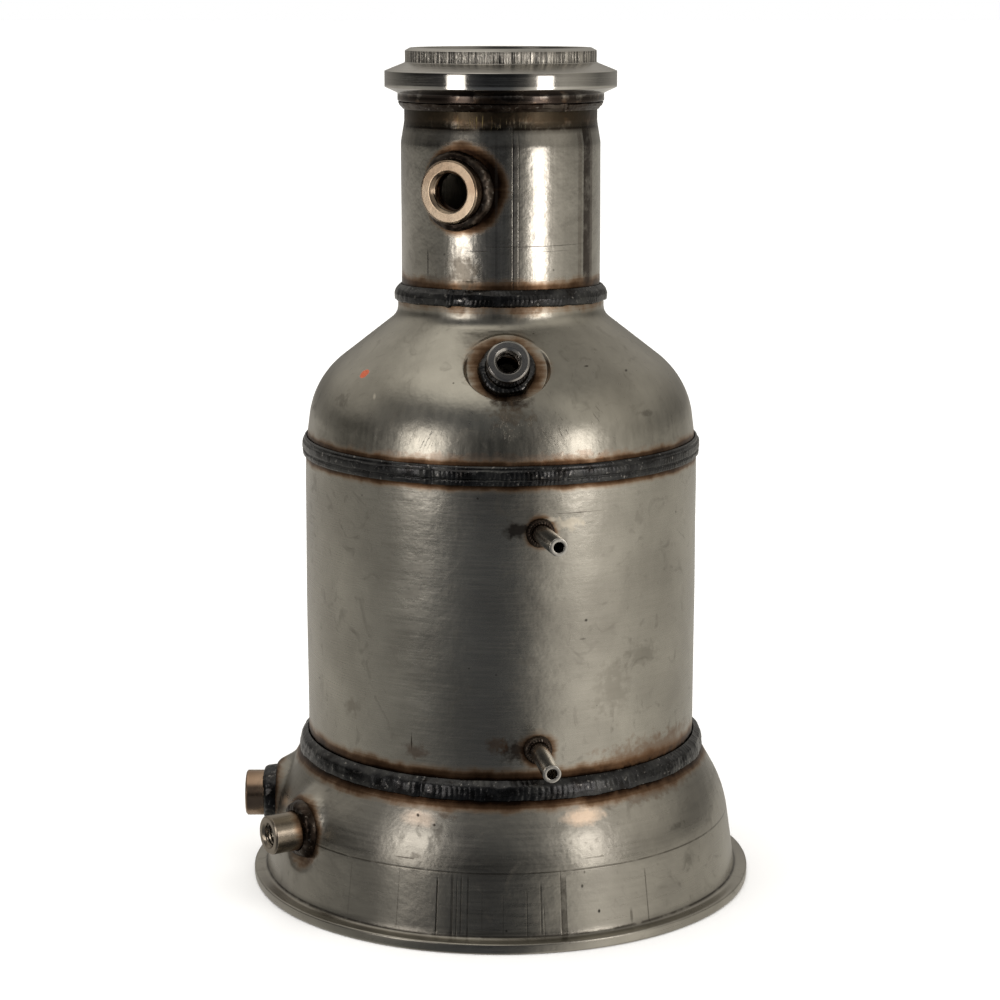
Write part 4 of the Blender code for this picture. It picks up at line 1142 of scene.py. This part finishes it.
def weld_metal(name, dark, middle, light_tone, painted_glint, roughness):
    """Weld metal with its scale: dark and lighter patches, with small glints painted in as bright flecks."""
    material, tree, shader, place = material_tree(name, roughness, 1.0)
    patch = add(tree, "TexNoise", {"Vector": place, "Scale": PATCHES, "Detail": 4.0, "Roughness": 0.6})
    tone = add(tree, "ValToRGB", {0: patch}, ((0.34, dark), (0.50, middle), (0.68, light_tone)))
    glint_mask = add(tree, "TexNoise", {"Vector": place, "Scale": PAINTED_GLINTS, "Detail": 3.0})
    glint_mask = add(tree, "MapRange", {"Value": glint_mask, "From Min": 0.62, "From Max": 0.74, "To Max": 0.7})
    tone = add(tree, "MixRGB", {0: glint_mask, 1: tone, 2: painted_glint})
    tree.links.new(tone, shader.inputs["Base Color"])
    span = {"From Min": 0.3, "From Max": 0.7,
            "To Min": roughness - PATCH_GLOSS, "To Max": roughness + PATCH_GLOSS}
    tree.links.new(add(tree, "MapRange", {"Value": patch, **span}), shader.inputs["Roughness"])
    skin = add(tree, "TexNoise", {"Vector": place, "Scale": PITS, "Detail": 6.0, "Roughness": 0.62})
    skin = add(tree, "Math", {0: skin, 1: PIT_DEPTH}, operation="MULTIPLY")
    tree.links.new(add(tree, "Bump", {"Distance": 1.0, "Height": skin}), shader.inputs["Normal"])
    return material


# Graphite-grey scale with painted glints as bright flecks, and a browner, duller one for most smaller beads
seam_metal = weld_metal("scaled_weld_metal", "#2d2b2a", "#3d3d3e", "#50504f", "#a5a29e", 0.28)
burnt_metal = weld_metal("burnt_weld_metal", "#221b17", "#3b322c", "#5c544c", "#8b857d", 0.34)


def ripple(turns, across):
    """The height of a rippled bead, 0 to 1, along its turns and across its width (-1 to 1)."""
    phase = turns + 0.55 * across * across
    return 0.5 - 0.5 * cos(2 * pi * phase + 0.9 * sin(2 * pi * phase))


on_can = CAN_RADIUS + SEAT_GAP
on_bell = radius_at(bell_profile, bell_top - 0.0070) + SEAT_GAP
bell_bead = [
    # radius, height, fillet
    (on_can, bell_top + SEAT_GAP, 0.0),
    (COLLAR_RADIUS + SEAT_GAP, bell_top + SEAT_GAP, 0.0),
    (COLLAR_RADIUS + SEAT_GAP, bell_top - BELL_COLLAR, 0.0),
    (on_bell, bell_top - 0.0070, 0.0006),
    (COLLAR_RADIUS + 0.0027, bell_top - 0.0026, 0.0030),
    (COLLAR_RADIUS + 0.0017, bell_top + 0.0014, 0.0030),
    (on_can, bell_top + 0.0044, 0.0004),
]
dome_bead = [
    (on_can, dome_seam - 0.0051, 0.0002),
    (CAN_RADIUS + 0.0010, dome_seam - 0.0042, 0.0005),
    (CAN_RADIUS + 0.0012, dome_seam - 0.0026, 0.0005),
    (CAN_RADIUS + 0.0006, dome_seam - 0.0018, 0.0003),
    (CAN_RADIUS + 0.0014, dome_seam - 0.0008, 0.0008),
    (CAN_RADIUS + 0.0013, dome_seam + 0.0022, 0.0008),
    (CAN_RADIUS + 0.0004, dome_seam + 0.0030, 0.0003),
    (CAN_RADIUS + 0.0003, dome_seam + 0.0040, 0.0005),
    (radius_at(dome_profile, dome_seam + 0.0050) + SEAT_GAP, dome_seam + 0.0050, 0.0002),
    (on_can, dome_base, 0.0),
]
on_neck = NECK_RADIUS + SEAT_GAP
neck_bead = [
    (on_neck, dome_high.z + SEAT_GAP, 0.0),
    (DOME_COLLAR_RADIUS + SEAT_GAP, dome_high.z + SEAT_GAP, 0.0),
    (DOME_COLLAR_RADIUS + SEAT_GAP, dome_high.z - 0.0036, 0.0003),
    (DOME_COLLAR_RADIUS + 0.0016, dome_high.z - 0.0028, 0.0010),
    (DOME_COLLAR_RADIUS + 0.0018, dome_high.z + 0.0002, 0.0016),
    (DOME_COLLAR_RADIUS + 0.0010, dome_high.z + 0.0026, 0.0016),
    (on_neck, dome_high.z + 0.0056, 0.0004),
]
top = base - SEAT_GAP
flange_bead = [
    (socket, top, 0.0),
    (socket, top - 0.0042, 0.0003),
    (socket + 0.0021, top - 0.0016, 0.0016),
    (socket + 0.0029, top, 0.0003),
]
SEAMS = (
    # piece, node, outline, spacing of its points, radius, pitch and height of the ripples, height
    # of the lumps, radius from which they rise, azimuth of the stop, lean to the front, metal
    ("bell_weld_bead", "bell_weld", bell_bead, 0.0012, COLLAR_RADIUS, 0.0030, 0.00012,
     0.00045, CAN_RADIUS + 0.0004, -22.0, 0.0, seam_metal),
    ("dome_weld_bead", "dome_weld", dome_bead, 0.0016, CAN_RADIUS, 0.0022, 0.00010,
     0.00025, CAN_RADIUS + 0.0002, -19.0, 0.0, seam_metal),
    ("neck_weld_bead", "neck_weld", neck_bead, 0.0011, DOME_COLLAR_RADIUS, 0.0022, 0.00010,
     0.00035, NECK_RADIUS + 0.0006, -27.0, 0.0018, seam_metal),
    ("flange_weld_bead", "neck_flange_weld", flange_bead, 0.0011, NECK_TOP_RADIUS, 0.0020, 0.00008,
     0.00022, socket + 0.0002, 40.0, 0.0, burnt_metal),
)

for name, node, corners, spacing, radius, pitch, height, lump, waist, stop, lean, metal in SEAMS:
    ripples = round(2 * pi * radius / pitch / 4) * 4
    shape = turned(corners, ripples * RIPPLE_STEPS, spacing)
    levels = [corner[1] for corner in corners]
    middle = (min(levels) + max(levels)) / 2
    half = (max(levels) - min(levels)) / 2
    shape.normal_update()
    for vert in shape.verts:
        angle = atan2(vert.co.x, -vert.co.y)
        gap = (angle - radians(stop) + pi) % (2 * pi) - pi
        lively = min(1.0, max(0.0, gap / 0.03)) * min(1.0, (pi - abs(gap)) / 0.5) * (1.0 - CALM) + CALM
        out = hypot(vert.co.x, vert.co.y)
        cover = min(1.0, max(0.0, (out - waist) / COVER_FADE))
        across = (vert.co.z - middle) / half
        ring = Vector((sin(angle), -cos(angle), 0.0)) * radius
        drift = WANDER * noise(ring / WANDER_LENGTH + Vector((0.0, 0.0, 3.0 * across)))
        swell = lump * (noise(vert.co / LUMPS[0]) + 0.5 * noise(vert.co / LUMPS[1]))
        crumbs = 0.9 * height * noise(vert.co / CRUMBS)
        turns = angle * ripples / (2 * pi) + 0.8 * noise(vert.co / RIPPLE_DRIFT)
        wave = height * (ripple(turns, across) - 0.5)
        crest = CREST[0] * exp(-((gap + CREST_BEFORE) / CREST[1]) ** 2)
        crater = CRATER[0] * exp(-(gap / CRATER[1]) ** 2)
        vert.co += vert.normal * cover * (lively * (wave + crumbs) + swell + crest - crater)
        vert.co.z += drift * cover + lean * cos(angle)
    piece(name, shape, metal, "weld_bead", node)


# Fillet beads
# Each is welded into the corner between a boss or a tap and its shell, in one short pass round
# it, and follows the shell's curve.
FILLET_ROWS = 14
FILLET_WANDER = 0.18
FILLET_LUMPS = (0.007, 0.003)
ABOVE = 0.03
SUNK = 0.0006
# share of its reach and of its rise where a bead's face bends, and the share that it fades in over
FACE_BEND = (0.72, 0.80)
FOOT_SHARE = 0.2

neck_seat, dome_seat, front_seat, rear_seat = seats
FILLETS = (
    # piece, node, frame, shell, inner radius, reach over the shell, rise, pitch and height of the
    # ripples, height of the lumps, metal
    ("neck_boss_bead", "neck_sensor_boss_weld", neck_seat, neck, NECK_BOSS_RADIUS + SEAT_GAP,
     0.0036, 0.0040, 0.0036, 0.00016, 0.00055, burnt_metal),
    ("dome_boss_bead", "dome_sensor_boss_weld", dome_seat, dome, DOME_BOSS_RADIUS + SEAT_GAP,
     0.0036, 0.0050, 0.0024, 0.00014, 0.00045, seam_metal),
    ("front_boss_bead", "front_bell_boss_weld", front_seat, bell, FRONT_BOSS_RADIUS + SEAT_GAP,
     0.0046, 0.0052, 0.0034, 0.00014, 0.00050, burnt_metal),
    ("rear_boss_bead", "rear_bell_boss_weld", rear_seat, bell, REAR_BOSS_RADIUS + SEAT_GAP,
     0.0030, 0.0070, 0.0034, 0.00012, 0.00045, seam_metal),
    ("upper_tap_bead", "upper_pressure_tap_weld", upper_tap, can, TAP_HOLE,
     0.0024, 0.0026, 0.0016, 0.00020, 0.00035, burnt_metal),
    ("lower_tap_bead", "lower_pressure_tap_weld", lower_tap, can, TAP_HOLE,
     0.0024, 0.0026, 0.0016, 0.00020, 0.00035, burnt_metal),
)

for name, node, place, shell, inner, reach, rise, pitch, height, lump, metal in FILLETS:
    below = BVHTree.FromObject(shell, bpy.context.evaluated_depsgraph_get())
    ripples = round(2 * pi * (inner + reach / 2) / pitch)
    corners = [(inner, 0.0, 0.0), (inner + reach, 0.0, 0.0),
               (inner + reach * FACE_BEND[0], rise * FACE_BEND[1], reach * 0.9), (inner, rise, 0.0004)]
    shape = turned(corners, ripples * RIPPLE_STEPS, reach / FILLET_ROWS * 1.4)
    axis = (place.to_3x3() @ Vector((0.0, 0.0, 1.0))).normalized()
    shape.normal_update()
    for vert in shape.verts:
        spot = vert.co.copy()
        angle = atan2(spot.y, spot.x)
        ring = Vector((cos(angle), sin(angle), 0.3)) * inner
        out = inner + (spot.xy.length - inner) * (1.0 + FILLET_WANDER * noise(ring / WANDER_LENGTH))
        spot.x = cos(angle) * out
        spot.y = sin(angle) * out
        start = place @ Vector((spot.x, spot.y, ABOVE))
        hit = below.ray_cast(start, -axis, 0.08)[0]
        ground = (hit - start).dot(axis) + ABOVE if hit else 0.0
        swell = lump * (noise(vert.co / FILLET_LUMPS[0]) + 0.5 * noise(vert.co / FILLET_LUMPS[1]))
        turns = angle * ripples / (2 * pi) + 0.5 * noise(vert.co / 0.01)
        wave = height * ripple(turns, 2 * (spot.z / rise) - 1)
        cover = min(1.0, max(0.0, spot.z / (FOOT_SHARE * rise)))
        spot.z += ground - (SUNK if spot.z <= 0 else 0.0)
        vert.co = place @ (spot + vert.normal * (wave + swell) * cover)
    piece(name, shape, metal, "weld_bead", node)
